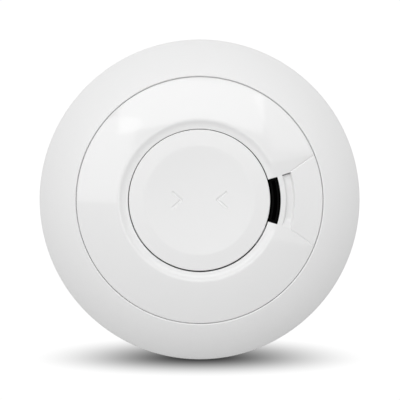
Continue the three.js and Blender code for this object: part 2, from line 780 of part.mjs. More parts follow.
const plastic = (color, roughness) => new THREE.MeshStandardMaterial({ color, roughness, metalness: 0 });
const metal = (color, roughness) => new THREE.MeshStandardMaterial({ color, roughness, metalness: 1 });
const whiteGloss = plastic(0xf4f4f4, 0.25);
const whiteSatin = plastic(0xececec, 0.5);
const blackMatte = plastic(0x080808, 0.7);
const boardGreen = plastic(0x1c5a34, 0.45);
const clearPlastic = plastic(0xdfe8ea, 0.1);
const redLens = plastic(0xb02018, 0.2);
const sleeveBlue = plastic(0x27466f, 0.4);
const epoxyBlack = plastic(0x151515, 0.6);
const steel = metal(0xb8bbbe, 0.3);
const brass = metal(0xc2a050, 0.35);
const ferrite = plastic(0x3a3836, 0.8);
const epoxyBlue = plastic(0x1d3d66, 0.35);

// ---- the assembly ----

// A named mesh of a solid.
function piece(name, body, material) {
  const { numProp, vertProperties, triVerts } = body.getMesh();
  const geometry = new THREE.BufferGeometry();
  const buffer = new THREE.InterleavedBuffer(vertProperties, numProp);
  geometry.setAttribute("position", new THREE.InterleavedBufferAttribute(buffer, 3, 0));
  geometry.setIndex(new THREE.BufferAttribute(triVerts, 1));
  const flat = geometry.toNonIndexed();
  flat.computeVertexNormals();
  const mesh = new THREE.Mesh(flat, material);
  mesh.name = name;
  return mesh;
}

const detector = new THREE.Group();
detector.rotation.x = Math.PI / 2; // the face-on drawing stands up and faces -Y
detector.add(
  piece("mounting_plate", makeMountingPlate(), whiteSatin),
  piece("rear_housing", makeRearHousing(), whiteSatin),
  piece("air_inlet_ring", makeAirInlet(), whiteSatin),
  piece("insect_screen", makeInsectScreen(), steel),
  piece("trim_ring", makeTrimRing(), whiteGloss),
  piece("front_cover", makeFrontCover(), whiteGloss),
  piece("test_button", makeTestButton(), whiteGloss),
  piece("sounder_chassis", makeSounderChassis(), blackMatte),
  piece("piezo_disc", makePiezoDisc(), brass),
  piece("sounder_cap", makeSounderCap(), blackMatte),
  piece("circuit_board", makeCircuitBoard(), boardGreen),
  piece("controller_chip", makeChip(-24, 13, 10, 4, 8), epoxyBlack),
  piece("driver_chip", makeChip(-8, 22, 5, 4, 4), epoxyBlack),
  piece("storage_capacitor", makeCapacitor(-24, -6, 4, 7), sleeveBlue),
  piece("filter_capacitor", makeCapacitor(-20, -20, 3.1, 6.4), sleeveBlue),
  piece("boost_inductor", makeInductor(-6, -25), ferrite),
  piece("indicator_led", makeIndicator(), redLens),
  piece("light_pipe", makeLightPipe(), clearPlastic),
  piece("test_switch", makeTestSwitch(), epoxyBlack),
  piece("test_switch_plunger", makeSwitchPlunger(), blackMatte),
  piece("on_off_switch", makeSliderSwitch(), steel),
  piece("on_off_knob", makeSwitchKnob(), blackMatte),
  piece("on_off_slider", makeOnOffSlider(), redLens),
  piece("lithium_cell", makeBattery(), sleeveBlue),
  piece("cell_tag_positive", makeBatteryTag(1), steel),
  piece("cell_tag_negative", makeBatteryTag(-1), steel),
  piece("thermistor", makeThermistor(), epoxyBlue),
);
postAngles.forEach((angle, i) => {
  detector.add(piece(`button_spring_${i + 1}`, makeSpring(angle), steel));
  detector.add(piece(`chassis_screw_${i + 1}`, makeChassisScrew(angle), steel));
});
bossAngles.forEach((angle, i) => {
  detector.add(piece(`housing_screw_${i + 1}`, makeHousingScrew(angle), steel));
});

export default detector;
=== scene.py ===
import math
import bmesh
import bpy
import numpy as np
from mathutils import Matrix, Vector
from mathutils.geometry import delaunay_2d_cdt


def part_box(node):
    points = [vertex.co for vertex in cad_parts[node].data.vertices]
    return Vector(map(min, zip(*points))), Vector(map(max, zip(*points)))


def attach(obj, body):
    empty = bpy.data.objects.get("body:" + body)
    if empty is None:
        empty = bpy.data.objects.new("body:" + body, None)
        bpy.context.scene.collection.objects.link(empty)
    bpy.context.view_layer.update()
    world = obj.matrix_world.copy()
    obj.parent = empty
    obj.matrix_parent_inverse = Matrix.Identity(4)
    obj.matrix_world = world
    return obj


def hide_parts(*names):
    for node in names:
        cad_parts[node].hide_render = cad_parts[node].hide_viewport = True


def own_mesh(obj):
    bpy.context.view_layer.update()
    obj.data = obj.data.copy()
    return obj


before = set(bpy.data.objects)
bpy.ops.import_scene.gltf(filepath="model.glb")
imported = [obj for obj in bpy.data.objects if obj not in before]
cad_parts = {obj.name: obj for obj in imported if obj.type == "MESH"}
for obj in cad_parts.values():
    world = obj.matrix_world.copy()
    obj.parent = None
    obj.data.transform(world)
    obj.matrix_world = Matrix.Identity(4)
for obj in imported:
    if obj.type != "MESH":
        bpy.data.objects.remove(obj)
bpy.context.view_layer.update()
creaseAngle = 32  # edges that turn more than this many degrees are shaded sharp
print("frame loaded:", len(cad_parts), "nodes")

# Shapes are drawn face on in millimetres: x to the right, y up, z out from the wall.
# The scene has the wall at y = 0 and the front towards -Y, in metres.


def placed(points):
    # drawing (x, y, z) becomes scene (x, -z, y)
    x, y, z = np.moveaxis(np.asarray(points, dtype=float), -1, 0)
    return np.stack((x, -z, y), axis=-1) * 0.001


def heightsOf(node):
    # a node's lowest and highest drawing z, in millimetres
    low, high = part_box(node)
    return -high[1] * 1000, -low[1] * 1000


def radiusOf(node):
    low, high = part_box(node)
    return (high[0] - low[0]) * 500


def signedVolume(points, faces):
    # sum of the tetrahedra from the origin to each triangle, or to each half of every quad
    a, b, c, d = (points[faces[:, i]] for i in (0, 1, 2, faces.shape[1] - 1))
    halves = np.einsum("ij,ij->i", a, np.cross(b, c)) + np.einsum("ij,ij->i", a, np.cross(c, d))
    return halves.sum() / 6


def makePiece(name, solids, material, body, replaced):
    # solids is a list of (points, faces); each closed surface is turned to face outwards
    allPoints, allFaces, count = [], [], 0
    for points, faces in solids:
        world = placed(points)
        if signedVolume(world, faces) < 0:
            faces = faces[:, ::-1]
        allPoints.append(world)
        allFaces += (faces + count).tolist()
        count += len(world)
    mesh = bpy.data.meshes.new(name)
    mesh.from_pydata(np.concatenate(allPoints), [], allFaces)
    welded = bmesh.new()
    welded.from_mesh(mesh)
    bmesh.ops.remove_doubles(welded, verts=welded.verts, dist=2e-7)  # poles and seams
    bmesh.ops.dissolve_degenerate(welded, edges=welded.edges, dist=1e-8)
    welded.to_mesh(mesh)
    welded.free()
    mesh.shade_smooth()
    mesh.set_sharp_from_angle(angle=math.radians(creaseAngle))
    mesh.materials.append(material)
    piece = bpy.data.objects.new(name, mesh)
    bpy.context.scene.collection.objects.link(piece)
    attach(piece, body)
    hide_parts(*replaced)
    return piece


def gridQuads(rows, columns, closeRows=True):
    # corners of every cell of a rows x columns grid of points; the last column always meets the first
    i = np.arange(rows if closeRows else rows - 1)
    i, j = (a.ravel() for a in np.meshgrid(i, np.arange(columns), indexing="ij"))
    nextI, nextJ = (i + 1) % rows, (j + 1) % columns
    row, nextRow = i * columns, nextI * columns
    return np.stack((row + j, nextRow + j, nextRow + nextJ, row + nextJ), axis=1)


def revolved(profile, sides=256, centre=(0, 0), onAxis=False):
    # point(u, a) = (r(u) cos a, r(u) sin a, z(u)) for a closed profile or one that ends on the axis
    r, z = np.asarray(profile, dtype=float).T
    a = np.arange(sides) * 2 * np.pi / sides
    points = np.stack((
        centre[0] + r[:, None] * np.cos(a), centre[1] + r[:, None] * np.sin(a),
        np.repeat(z[:, None], sides, axis=1)), axis=-1)
    return points.reshape(-1, 3), gridQuads(len(r), sides, closeRows=not onAxis)


def rounded(corners, steps=6):
    # corners are (r, z, radius); each becomes an arc that is tangent to both of its sides
    spots = np.array([c[:2] for c in corners], dtype=float)
    out = []
    for spot, before, after, corner in zip(spots, np.roll(spots, 1, 0), np.roll(spots, -1, 0), corners):
        radius = corner[2]
        if radius == 0:
            out.append(spot[None])
            continue
        toBefore = (before - spot) / np.linalg.norm(before - spot)
        toAfter = (after - spot) / np.linalg.norm(after - spot)
        half = math.acos(np.clip(toBefore @ toAfter, -1, 1)) / 2
        reach = radius / math.tan(half)
        middle = spot + (toBefore + toAfter) / np.linalg.norm(toBefore + toAfter) * radius / math.sin(half)
        start, end = spot + toBefore * reach - middle, spot + toAfter * reach - middle
        turn = math.atan2(start[0] * end[1] - start[1] * end[0], start @ end)
        t = np.linspace(0, turn, steps + 1)[:, None]
        side = np.array([-start[1], start[0]])
        out.append(middle + start * np.cos(t) + side * np.sin(t))
    return np.concatenate(out)


def tiltedHeight(r, knots, tilts, soften):
    # height falls by tan(tilt) per radius, where sin(tilt) runs straight between the knots
    fine = np.linspace(knots[0], knots[-1], 3000)
    sine = np.interp(fine, knots, np.sin(np.radians(tilts)))
    width = max(1, int(soften / (fine[1] - fine[0])) // 2 * 2 + 1)
    padded = np.pad(sine, width // 2, mode="edge")
    sine = np.convolve(padded, np.ones(width) / width, mode="valid")
    slope = -sine / np.sqrt(1 - sine ** 2)
    height = np.concatenate(([0], np.cumsum((slope[1:] + slope[:-1]) / 2 * np.diff(fine))))
    return np.interp(r, fine, height)


def smoothStep(x):
    x = np.clip(x, 0, 1)
    return x * x * (3 - 2 * x)


def softMin(a, b, width):
    # the lower of a and b, rounded off where they come within width of each other
    mix = np.clip(0.5 + 0.5 * (b - a) / width, 0, 1)
    return b + (a - b) * mix - width * mix * (1 - mix)


def onCircle(radius, angle):
    turn = math.radians(angle)
    return radius * math.cos(turn), radius * math.sin(turn)


def stops(*parts):
    # joins stretches (from, to, spacing) into one rising list of stations
    values = [np.linspace(a, b, max(2, int(round((b - a) / step)) + 1)) for a, b, step in parts]
    return np.unique(np.round(np.concatenate(values), 5))


def openEdges(faces, count):
    # directed edges that no other face runs the other way
    size = faces.shape[1]
    edges = np.concatenate([faces[:, [k, (k + 1) % size]] for k in range(size)])
    return edges[~np.isin(edges[:, 0] * count + edges[:, 1], edges[:, 1] * count + edges[:, 0])]


def sectorBlock(radii, angles, heights, steps=12, edge=0.15):
    # a small rounded block: its section is carried round an arc and closes in to its middle at both ends
    (inner, outer), (low, high) = radii, heights
    section = rounded([(inner, low, edge), (outer, low, edge), (outer, high, edge), (inner, high, edge)], 3)
    middle = np.repeat(section.mean(axis=0)[None], len(section), axis=0)
    turns = np.radians(np.linspace(*angles, steps + 1))
    sections = np.array([middle] + [section] * len(turns) + [middle])
    turns = np.pad(turns, 1, mode="edge")[:, None]
    r, z = sections[..., 0], sections[..., 1]
    points = np.stack((r * np.cos(turns), r * np.sin(turns), z), axis=-1)
    return points.reshape(-1, 3), gridQuads(len(sections), len(section), closeRows=False)


def roundedBar(xs, ys, zs, edge=0.12):
    # a box with broken edges: its section is carried along x and closes in to its middle at both ends
    (x0, x1), (y0, y1), (z0, z1) = xs, ys, zs
    section = rounded([(y0, z0, edge), (y1, z0, edge), (y1, z1, edge), (y0, z1, edge)], 2)
    middle = section.mean(axis=0)
    points = np.array([
        np.column_stack((np.full(len(section), x), middle + (section - middle) * share))
        for x, share in ((x0, 0), (x0, 1), (x1, 1), (x1, 0))])
    return points.reshape(-1, 3), gridQuads(len(points), len(section), closeRows=False)


def insideLoop(points, loop):
    # a point is inside when a line from it to the right crosses the loop an odd number of times
    x, y = points[:, 0, None], points[:, 1, None]
    (x0, y0), (x1, y1) = loop.T, np.roll(loop, -1, axis=0).T
    spans = (y0 > y) != (y1 > y)
    rise = np.where(y1 == y0, 1, y1 - y0)
    return (spans & (x < x0 + (y - y0) * (x1 - x0) / rise)).sum(axis=1) % 2 == 1


def sheetWithHoles(outline, holes, low, high):
    # flat sheet between two heights: the outline, less the holes, is split into triangles
    loops = [np.asarray(loop, dtype=float) for loop in (outline, *holes)]
    points = np.concatenate(loops)
    starts = np.cumsum([0] + [len(loop) for loop in loops])
    rings = [np.arange(first, last) for first, last in zip(starts, starts[1:])]
    edges = np.concatenate([np.stack((ring, np.roll(ring, -1)), axis=1) for ring in rings])
    found = delaunay_2d_cdt([Vector(p) for p in points], edges.tolist(), [], 1, 1e-7)
    flat = np.array([tuple(v) for v in found[0]])
    top = np.array(found[2])
    middles = flat[top].mean(axis=1)
    for hole in loops[1:]:
        top, middles = (kept[~insideLoop(middles, hole)] for kept in (top, middles))
    count = len(flat)
    first, second = openEdges(top, count).T
    bottom = top[:, ::-1] + count
    walls = np.concatenate((
        np.stack((second, first, first + count), axis=1),
        np.stack((second, first + count, second + count), axis=1)))
    heights = np.repeat((high, low), count)
    return np.column_stack((np.tile(flat, (2, 1)), heights)), np.concatenate((top, bottom, walls))


def circleLoop(radius, sides=256, centre=(0, 0)):
    # points evenly round a circle
    a = np.arange(sides) * 2 * np.pi / sides
    return np.stack((centre[0] + radius * np.cos(a), centre[1] + radius * np.sin(a)), axis=1)


def arcPoints(radius, start, end, steps=24):
    # points along a circle round the middle, between two angles in degrees
    a = np.radians(np.linspace(start, end, steps + 1))
    return np.stack((radius * np.cos(a), radius * np.sin(a)), axis=1)


def slotLoop(x, halfWidth, halfRun, steps=16):
    # round-ended slot along y
    a = np.linspace(0, np.pi, steps + 1)
    upper = np.stack((x + halfWidth * np.cos(a), halfRun + halfWidth * np.sin(a)), axis=1)
    return np.concatenate((upper, np.array([2 * x, 0]) - upper))


def turnedAbout(solid, angle):
    # the same solid, turned about the z axis
    points, quads = solid
    c, s = math.cos(angle), math.sin(angle)
    x, y, z = points.T
    return np.stack((x * c - y * s, x * s + y * c, z), axis=1), quads


def newGroup(name, inputs, outputs):
    group = bpy.data.node_groups.new(name, "ShaderNodeTree")
    for title, kind, value in inputs:
        socket = group.interface.new_socket(title, in_out="INPUT", socket_type=kind)
        socket.default_value = value
    for title, kind in outputs:
        group.interface.new_socket(title, in_out="OUTPUT", socket_type=kind)
    return group, group.nodes.new("NodeGroupInput"), group.nodes.new("NodeGroupOutput")


def addNode(tree, kind, **values):
    # values that name an input set it; the rest are the node's own properties
    node = tree.nodes.new(kind)
    for key, value in values.items():
        if key in node.inputs.keys():
            node.inputs[key].default_value = value
        else:
            setattr(node, key, value)
    return node


def mathNode(tree, operation, a, b=None, clamp=False):
    node = tree.nodes.new("ShaderNodeMath")
    node.operation = operation
    node.use_clamp = clamp
    for socket, value in zip(node.inputs, (a, b)):
        if value is None:
            continue
        if isinstance(value, (int, float)):
            socket.default_value = value
        else:
            tree.links.new(value, socket)
    return node.outputs[0]


def buildMouldedGroup():
    # fine spark texture, slow flow waves and faint smudges of a moulded plastic surface
    group, given, result = newGroup(
        "mouldedSurface",
        [("Scale", "NodeSocketFloat", 1.0), ("Grain", "NodeSocketFloat", 0.5),
         ("Smudge", "NodeSocketFloat", 0.5)],
        [("Height", "NodeSocketFloat"), ("Smudges", "NodeSocketFloat"), ("Tone", "NodeSocketFloat")])
    spot = addNode(group, "ShaderNodeTexCoord")
    sized = addNode(group, "ShaderNodeVectorMath", operation="SCALE")
    group.links.new(spot.outputs["Object"], sized.inputs[0])
    group.links.new(given.outputs["Scale"], sized.inputs["Scale"])
    noises = {}
    for title, scale, detail in (("grain", 5200, 2), ("flow", 60, 3), ("smudge", 130, 5), ("tone", 24, 2)):
        noises[title] = addNode(group, "ShaderNodeTexNoise", Scale=scale, Detail=detail, Roughness=0.55)
        group.links.new(sized.outputs[0], noises[title].inputs["Vector"])
    grain = mathNode(group, "MULTIPLY", noises["grain"].outputs["Fac"], given.outputs["Grain"])
    flow = mathNode(group, "MULTIPLY", noises["flow"].outputs["Fac"], 0.6)
    group.links.new(mathNode(group, "ADD", grain, flow), result.inputs["Height"])
    raised = mathNode(group, "SUBTRACT", noises["smudge"].outputs["Fac"], 0.42)
    sharp = mathNode(group, "MULTIPLY", raised, 3.0, clamp=True)
    group.links.new(mathNode(group, "MULTIPLY", sharp, given.outputs["Smudge"]), result.inputs["Smudges"])
    group.links.new(noises["tone"].outputs["Fac"], result.inputs["Tone"])
    return group


def buildEdgeGroup():
    # mask of the outward edges, from how pointed the surface is
    group, given, result = newGroup(
        "edgeWear",
        [("Amount", "NodeSocketFloat", 0.5), ("Breakup", "NodeSocketFloat", 400.0)],
        [("Mask", "NodeSocketFloat")])
    shape = addNode(group, "ShaderNodeNewGeometry")
    spot = addNode(group, "ShaderNodeTexCoord")
    noise = addNode(group, "ShaderNodeTexNoise", Detail=4)
    group.links.new(spot.outputs["Object"], noise.inputs["Vector"])
    group.links.new(given.outputs["Breakup"], noise.inputs["Scale"])
    raised = mathNode(group, "SUBTRACT", shape.outputs["Pointiness"], 0.52)
    pointed = mathNode(group, "MULTIPLY", raised, 9.0, clamp=True)
    broken = mathNode(group, "MULTIPLY", pointed, noise.outputs["Fac"])
    group.links.new(mathNode(group, "MULTIPLY", broken, given.outputs["Amount"]), result.inputs["Mask"])
    return group


def buildStreakGroup():
    # fine lines along one axis, as brushing, drawing or rolling leaves on metal
    group, given, result = newGroup(
        "drawnStreaks",
        [("Stretch", "NodeSocketVector", (1.0, 1.0, 1.0)), ("Scale", "NodeSocketFloat", 900.0)],
        [("Height", "NodeSocketFloat"), ("Tone", "NodeSocketFloat")])
    spot = addNode(group, "ShaderNodeTexCoord")
    pulled = addNode(group, "ShaderNodeVectorMath", operation="MULTIPLY")
    group.links.new(spot.outputs["Object"], pulled.inputs[0])
    group.links.new(given.outputs["Stretch"], pulled.inputs[1])
    fine = addNode(group, "ShaderNodeTexNoise", Detail=4, Roughness=0.6)
    group.links.new(pulled.outputs[0], fine.inputs["Vector"])
    group.links.new(given.outputs["Scale"], fine.inputs["Scale"])
    broad = addNode(group, "ShaderNodeTexNoise", Scale=90, Detail=2)
    group.links.new(spot.outputs["Object"], broad.inputs["Vector"])
    group.links.new(fine.outputs["Fac"], result.inputs["Height"])
    group.links.new(broad.outputs["Fac"], result.inputs["Tone"])
    return group


mouldedGroup = buildMouldedGroup()
edgeGroup = buildEdgeGroup()
streakGroup = buildStreakGroup()


def placeGroup(tree, group, **values):
    node = tree.nodes.new("ShaderNodeGroup")
    node.node_tree = group
    for key, value in values.items():
        node.inputs[key].default_value = value
    return node


def newMaterial(name):
    material = bpy.data.materials.new(name)
    material.use_nodes = True
    return material, material.node_tree, material.node_tree.nodes["Principled BSDF"]


def colourBetween(tree, shader, factor, dark, light):
    mix = addNode(tree, "ShaderNodeMix", data_type="RGBA")
    first, second = (socket for socket in mix.inputs if socket.type == "RGBA")
    first.default_value, second.default_value = (*dark, 1), (*light, 1)
    blended = next(socket for socket in mix.outputs if socket.type == "RGBA")
    tree.links.new(factor, mix.inputs["Factor"])
    tree.links.new(blended, shader.inputs["Base Color"])


def valueBetween(tree, socket, factor, low, high):
    spread = addNode(tree, "ShaderNodeMapRange")
    spread.inputs["To Min"].default_value = low
    spread.inputs["To Max"].default_value = high
    tree.links.new(factor, spread.inputs["Value"])
    tree.links.new(spread.outputs["Result"], socket)


def bumpOn(tree, shader, height, strength, distance):
    bump = addNode(tree, "ShaderNodeBump", Strength=strength, Distance=distance)
    tree.links.new(height, bump.inputs["Height"])
    tree.links.new(bump.outputs["Normal"], shader.inputs["Normal"])


def mouldedPlastic(name, colour, spread, roughness, grain=0.4, bump=0.12, specular=0.5):
    # opaque plastic; its colour varies by the spread, and roughness runs between its two values
    material, tree, shader = newMaterial(name)
    surface = placeGroup(tree, mouldedGroup, Scale=1.0, Grain=grain, Smudge=0.5)
    wear = placeGroup(tree, edgeGroup, Amount=0.6, Breakup=500.0)
    tone = mathNode(tree, "ADD", surface.outputs["Tone"], wear.outputs["Mask"])
    dark = [c * (1 - spread) for c in colour]
    light = [min(1, c * (1 + spread)) for c in colour]
    colourBetween(tree, shader, tone, dark, light)
    valueBetween(tree, shader.inputs["Roughness"], surface.outputs["Smudges"], *roughness)
    bumpOn(tree, shader, surface.outputs["Height"], bump, 0.00004)
    shader.inputs["Specular IOR Level"].default_value = specular
    return material


def drawnMetal(name, colour, roughness=(0.25, 0.4), stretch=(1, 1, 1), scale=900, bump=0.2):
    material, tree, shader = newMaterial(name)
    streaks = placeGroup(tree, streakGroup, Stretch=stretch, Scale=scale)
    dark, light = [c * 0.85 for c in colour], [min(1, c * 1.1) for c in colour]
    colourBetween(tree, shader, streaks.outputs["Tone"], dark, light)
    valueBetween(tree, shader.inputs["Roughness"], streaks.outputs["Height"], *roughness)
    bumpOn(tree, shader, streaks.outputs["Height"], bump, 0.00003)
    shader.inputs["Metallic"].default_value = 1
    return material


def clearPlastic(name, colour, roughness=(0.05, 0.15)):
    material, tree, shader = newMaterial(name)
    surface = placeGroup(tree, mouldedGroup, Scale=1.0, Grain=0.2, Smudge=0.6)
    colourBetween(tree, shader, surface.outputs["Tone"], [c * 0.92 for c in colour], colour)
    valueBetween(tree, shader.inputs["Roughness"], surface.outputs["Smudges"], *roughness)
    bumpOn(tree, shader, surface.outputs["Height"], 0.1, 0.00003)
    shader.inputs["Transmission Weight"].default_value = 0.9
    shader.inputs["IOR"].default_value = 1.49
    return material


def circuitMask():
    # green solder mask over copper tracks, drawn as the edges of a blocky cell pattern
    material, tree, shader = newMaterial("circuitMask")
    spot = addNode(tree, "ShaderNodeTexCoord")
    cells = addNode(tree, "ShaderNodeTexVoronoi", feature="DISTANCE_TO_EDGE", Scale=260, Randomness=0.35)
    tree.links.new(spot.outputs["Object"], cells.inputs["Vector"])
    tracks = mathNode(tree, "LESS_THAN", cells.outputs["Distance"], 0.09)
    surface = placeGroup(tree, mouldedGroup, Scale=1.0, Grain=0.6, Smudge=0.5)
    colourBetween(tree, shader, tracks, (0.012, 0.09, 0.035), (0.035, 0.19, 0.07))
    valueBetween(tree, shader.inputs["Roughness"], surface.outputs["Smudges"], 0.3, 0.45)
    bumpOn(tree, shader, tracks, 0.3, 0.00004)
    return material


whiteGloss = mouldedPlastic(
    "whiteGlossPlastic", (0.86, 0.86, 0.86), spread=0.012, roughness=(0.07, 0.12), grain=0.15, bump=0.03)
whiteSilk = mouldedPlastic(
    "whiteSilkPlastic", (0.86, 0.86, 0.86), spread=0.012, roughness=(0.42, 0.5), grain=0.5)
whiteSatin = mouldedPlastic(
    "whiteSatinPlastic", (0.82, 0.82, 0.82), spread=0.02, roughness=(0.45, 0.6), grain=1.0, bump=0.3)
# black sounder plastic, made far darker than real black plastic: partly its own colour and partly painted
# shade, so the slot over the sounder reads as a deep shadow
blackMatteAndSlotShade = mouldedPlastic(
    "sounderBlackAndSlotShade", (0.0015, 0.0015, 0.0015), spread=0.3, roughness=(0.6, 0.8), grain=1.0,
    specular=0.06)
print("materials ready")


front = {
    "knots": (25.35, 27.95, 29.15, 43.84),  # radii of the cover where its tilt is set
    "tilts": (0, -35, 13, 23),
    "soften": 0.2,
    "crown": 46.0,
    "slotOuter": 28.75,
    "slotAngle": 17.0,
    "pocket": (30.5, 33.85),
    "pocketAngle": 17.3,
    "pocketDepth": 1.6,
    "pocketWall": 0.58,
    "pocketTopWall": 0.12,
    "pocketFootWall": 3.2,
    "slitWidth": 0.42,  # narrow slit across the pocket's upper end
    "slitDepth": 1.5,
    "slitEdge": 0.08,
    "channelAngle": 17.6,
    "channelCorner": (32.3, 10.3),
    "channelSplay": 35.0,
    "floorBow": 1.15,  # the floor drops a little faster towards the seam
    "scoopStart": (25.7, 14.2),  # two points of the scoop's soft outer edge
    "scoopEnd": (39.9, 16.3),
    "scoopSteepness": 1.1,
    "scoopBlend": 0.18,
    "grooveWidth": 0.7,
    "grooveDepth": 0.24,
    "grooveStart": 0.3,  # beyond the pocket
    "plainAngle": 50.0,  # from here on the grid's columns are plain radii
    "edge": 0.3,  # rounding of the edges at the bore, slot and seam
}


def coverDome(r):
    # height of the cover by radius: lip, step up to the crown, then the dome down to the seam
    fine = np.linspace(front["knots"][0], front["knots"][-1], 800)
    rise, fineRise = (tiltedHeight(x, front["knots"], front["tilts"], front["soften"]) for x in (r, fine))
    return rise - fineRise.max() + front["crown"]


lipHeight = float(coverDome(front["knots"][0]))
seamHeight = float(coverDome(front["knots"][-1]))


def coverTop(r, a):
    # dome, less a scoop that runs down to the channel's floor, its edge groove and the pocket
    dome = coverDome(r)
    x, y = r * np.cos(a), np.abs(r * np.sin(a))
    side = x > 0
    run = front["knots"][-1] - front["slotOuter"]
    along = np.maximum(r - front["slotOuter"], 0) / run
    floor = lipHeight - (lipHeight - seamHeight) * along ** front["floorBow"]
    cornerX, cornerY = front["channelCorner"]
    splay = math.radians(front["channelSplay"])
    fromRadial = r * np.sin(np.abs(a) - math.radians(front["channelAngle"]))
    fromLine = (y - cornerY) * math.cos(splay) - (x - cornerX) * math.sin(splay)
    outside = np.minimum(fromRadial, fromLine)
    (x0, y0), (x1, y1) = front["scoopStart"], front["scoopEnd"]
    lean = math.atan2(y1 - y0, x1 - x0)
    toScoopEdge = np.maximum((y0 - y) * math.cos(lean) + (x - x0) * math.sin(lean), 0)
    share = np.maximum(outside, 0) / (np.maximum(outside, 0) + toScoopEdge + 1e-6)
    climb = softMin(front["scoopSteepness"] * share, np.ones_like(share), front["scoopBlend"])
    climb = np.where(toScoopEdge <= 0, 1.0, np.clip(climb, 0, 1))
    scooped = np.where(outside > 0, floor + (dome - floor) * climb, floor)
    height = np.where(side, np.minimum(dome, scooped), dome)
    beyond = smoothStep((r - front["pocket"][1]) / front["grooveStart"])
    groove = np.clip(1 - np.abs(fromLine) / (front["grooveWidth"] / 2), 0, 1) * beyond
    height = height - np.where(side, front["grooveDepth"] * groove, 0)
    inner, outer = front["pocket"]
    ends = math.radians(front["pocketAngle"]) * r - np.abs(a) * r
    endWall = np.where(a > 0, front["pocketTopWall"], front["pocketFootWall"])
    across = np.clip(np.minimum(r - inner, outer - r) / front["pocketWall"], 0, 1)
    inside = np.minimum(across, np.clip(ends / endWall, 0, 1))
    slit = np.clip(np.minimum(ends, front["slitWidth"] - ends) / front["slitEdge"], 0, 1) * (a > 0) * across
    return height - front["pocketDepth"] * inside - front["slitDepth"] * slit


def roundOff(distance, radius):
    # how far an edge's rounding lowers the surface at this distance from the edge
    reach = np.clip(radius - distance, 0, radius)
    return radius - np.sqrt(np.maximum(radius ** 2 - reach ** 2, 0))


def warpedAngle(column, r):
    # columns up to the channel's edge are spread so that one of them lies on that edge
    edge = math.radians(front["channelAngle"])
    cornerX, cornerY = front["channelCorner"]
    splay = math.radians(front["channelSplay"])
    # the splayed edge line crosses the circle of radius r at splay + arcsin(offset / r)
    offset = cornerY * math.cos(splay) - cornerX * math.sin(splay)
    target = np.maximum(splay + np.arcsin(offset / r), edge)
    far = math.radians(front["plainAngle"])
    size = np.abs(column)
    spread = target + (size - edge) * (far - target) / (far - edge)
    stretched = np.where(size < edge, size * target / edge, spread)
    return np.sign(column) * np.where(size < far, stretched, size)


def maskedShell(top, bottom, present):
    # two grids of points that wrap round in their second direction; walls close every open boundary
    rows, columns = top.shape[:2]
    count = rows * columns
    upper = gridQuads(rows, columns, closeRows=False)[present.ravel()]
    lower = (upper + count)[:, ::-1]
    first, second = openEdges(upper, count).T
    walls = np.stack((second, first, first + count, second + count), axis=1)
    points = np.concatenate((top.reshape(-1, 3), bottom.reshape(-1, 3)))
    quads = np.concatenate((upper, lower, walls))
    used, inverse = np.unique(quads, return_inverse=True)
    return points[used], inverse.reshape(quads.shape)


coverInside = {
    "wall": 2.0,
    "well": 4.2,
    "wellWall": 1.7,
    "rimStart": 41.65,
    "rimDrop": 1.85,
    "bossCircle": 38,
    "bossRadius": 3.2,
    "bossAngles": (60, 180, 300),
    "postCircle": 31,
    "postRadius": 2.6,
    "postAngles": (90, 210, 330),
    "postFoot": 35.9,
    "pilot": 1.55,
    "joinDepth": 0.4,
}


def hollowPost(circle, angle, bore, radius, low, high):
    # a tube that stands on a circle round the middle
    tube = rounded([(bore, low, 0.2), (radius, low, 0.3), (radius, high, 0), (bore, high, 0)])
    return revolved(tube, 48, onCircle(circle, angle))


def coverStations():
    # radii and angles of the cover's grid, in stretches of (from, to, spacing)
    inner, outer, edge = front["knots"][0], front["knots"][-1], front["edge"]
    slot, (pocketIn, pocketOut) = front["slotOuter"], front["pocket"]
    wallRun = front["pocketWall"] + 0.02
    beyond, rim = pocketOut + front["grooveStart"], coverInside["rimStart"]
    r = stops((inner, inner + edge, 0.05), (inner + edge, slot, 0.2), (slot, slot + edge, 0.06),
              (slot + edge, pocketIn, 0.2), (pocketIn, pocketIn + wallRun, 0.04),
              (pocketIn + wallRun, pocketOut - wallRun, 0.3), (pocketOut - wallRun, pocketOut, 0.04),
              (pocketOut, beyond, 0.1), (beyond, rim - 0.05, 0.35),
              (rim - 0.05, rim + 0.05, 0.05), (rim + 0.05, outer - edge, 0.3), (outer - edge, outer, 0.05))
    slotEnd, channel, plain = front["slotAngle"], front["channelAngle"], front["plainAngle"]
    half = stops((0, slotEnd - 1.2, 1.2), (slotEnd - 1.2, slotEnd, 0.1), (slotEnd, channel - 0.3, 0.1),
                 (channel - 0.3, channel + 0.3, 0.05), (channel + 0.3, channel + 2, 0.15),
                 (channel + 2, plain, 0.8), (plain, 180, 1.4))
    return r, np.radians(np.concatenate((half, -half[1:-1][::-1])))


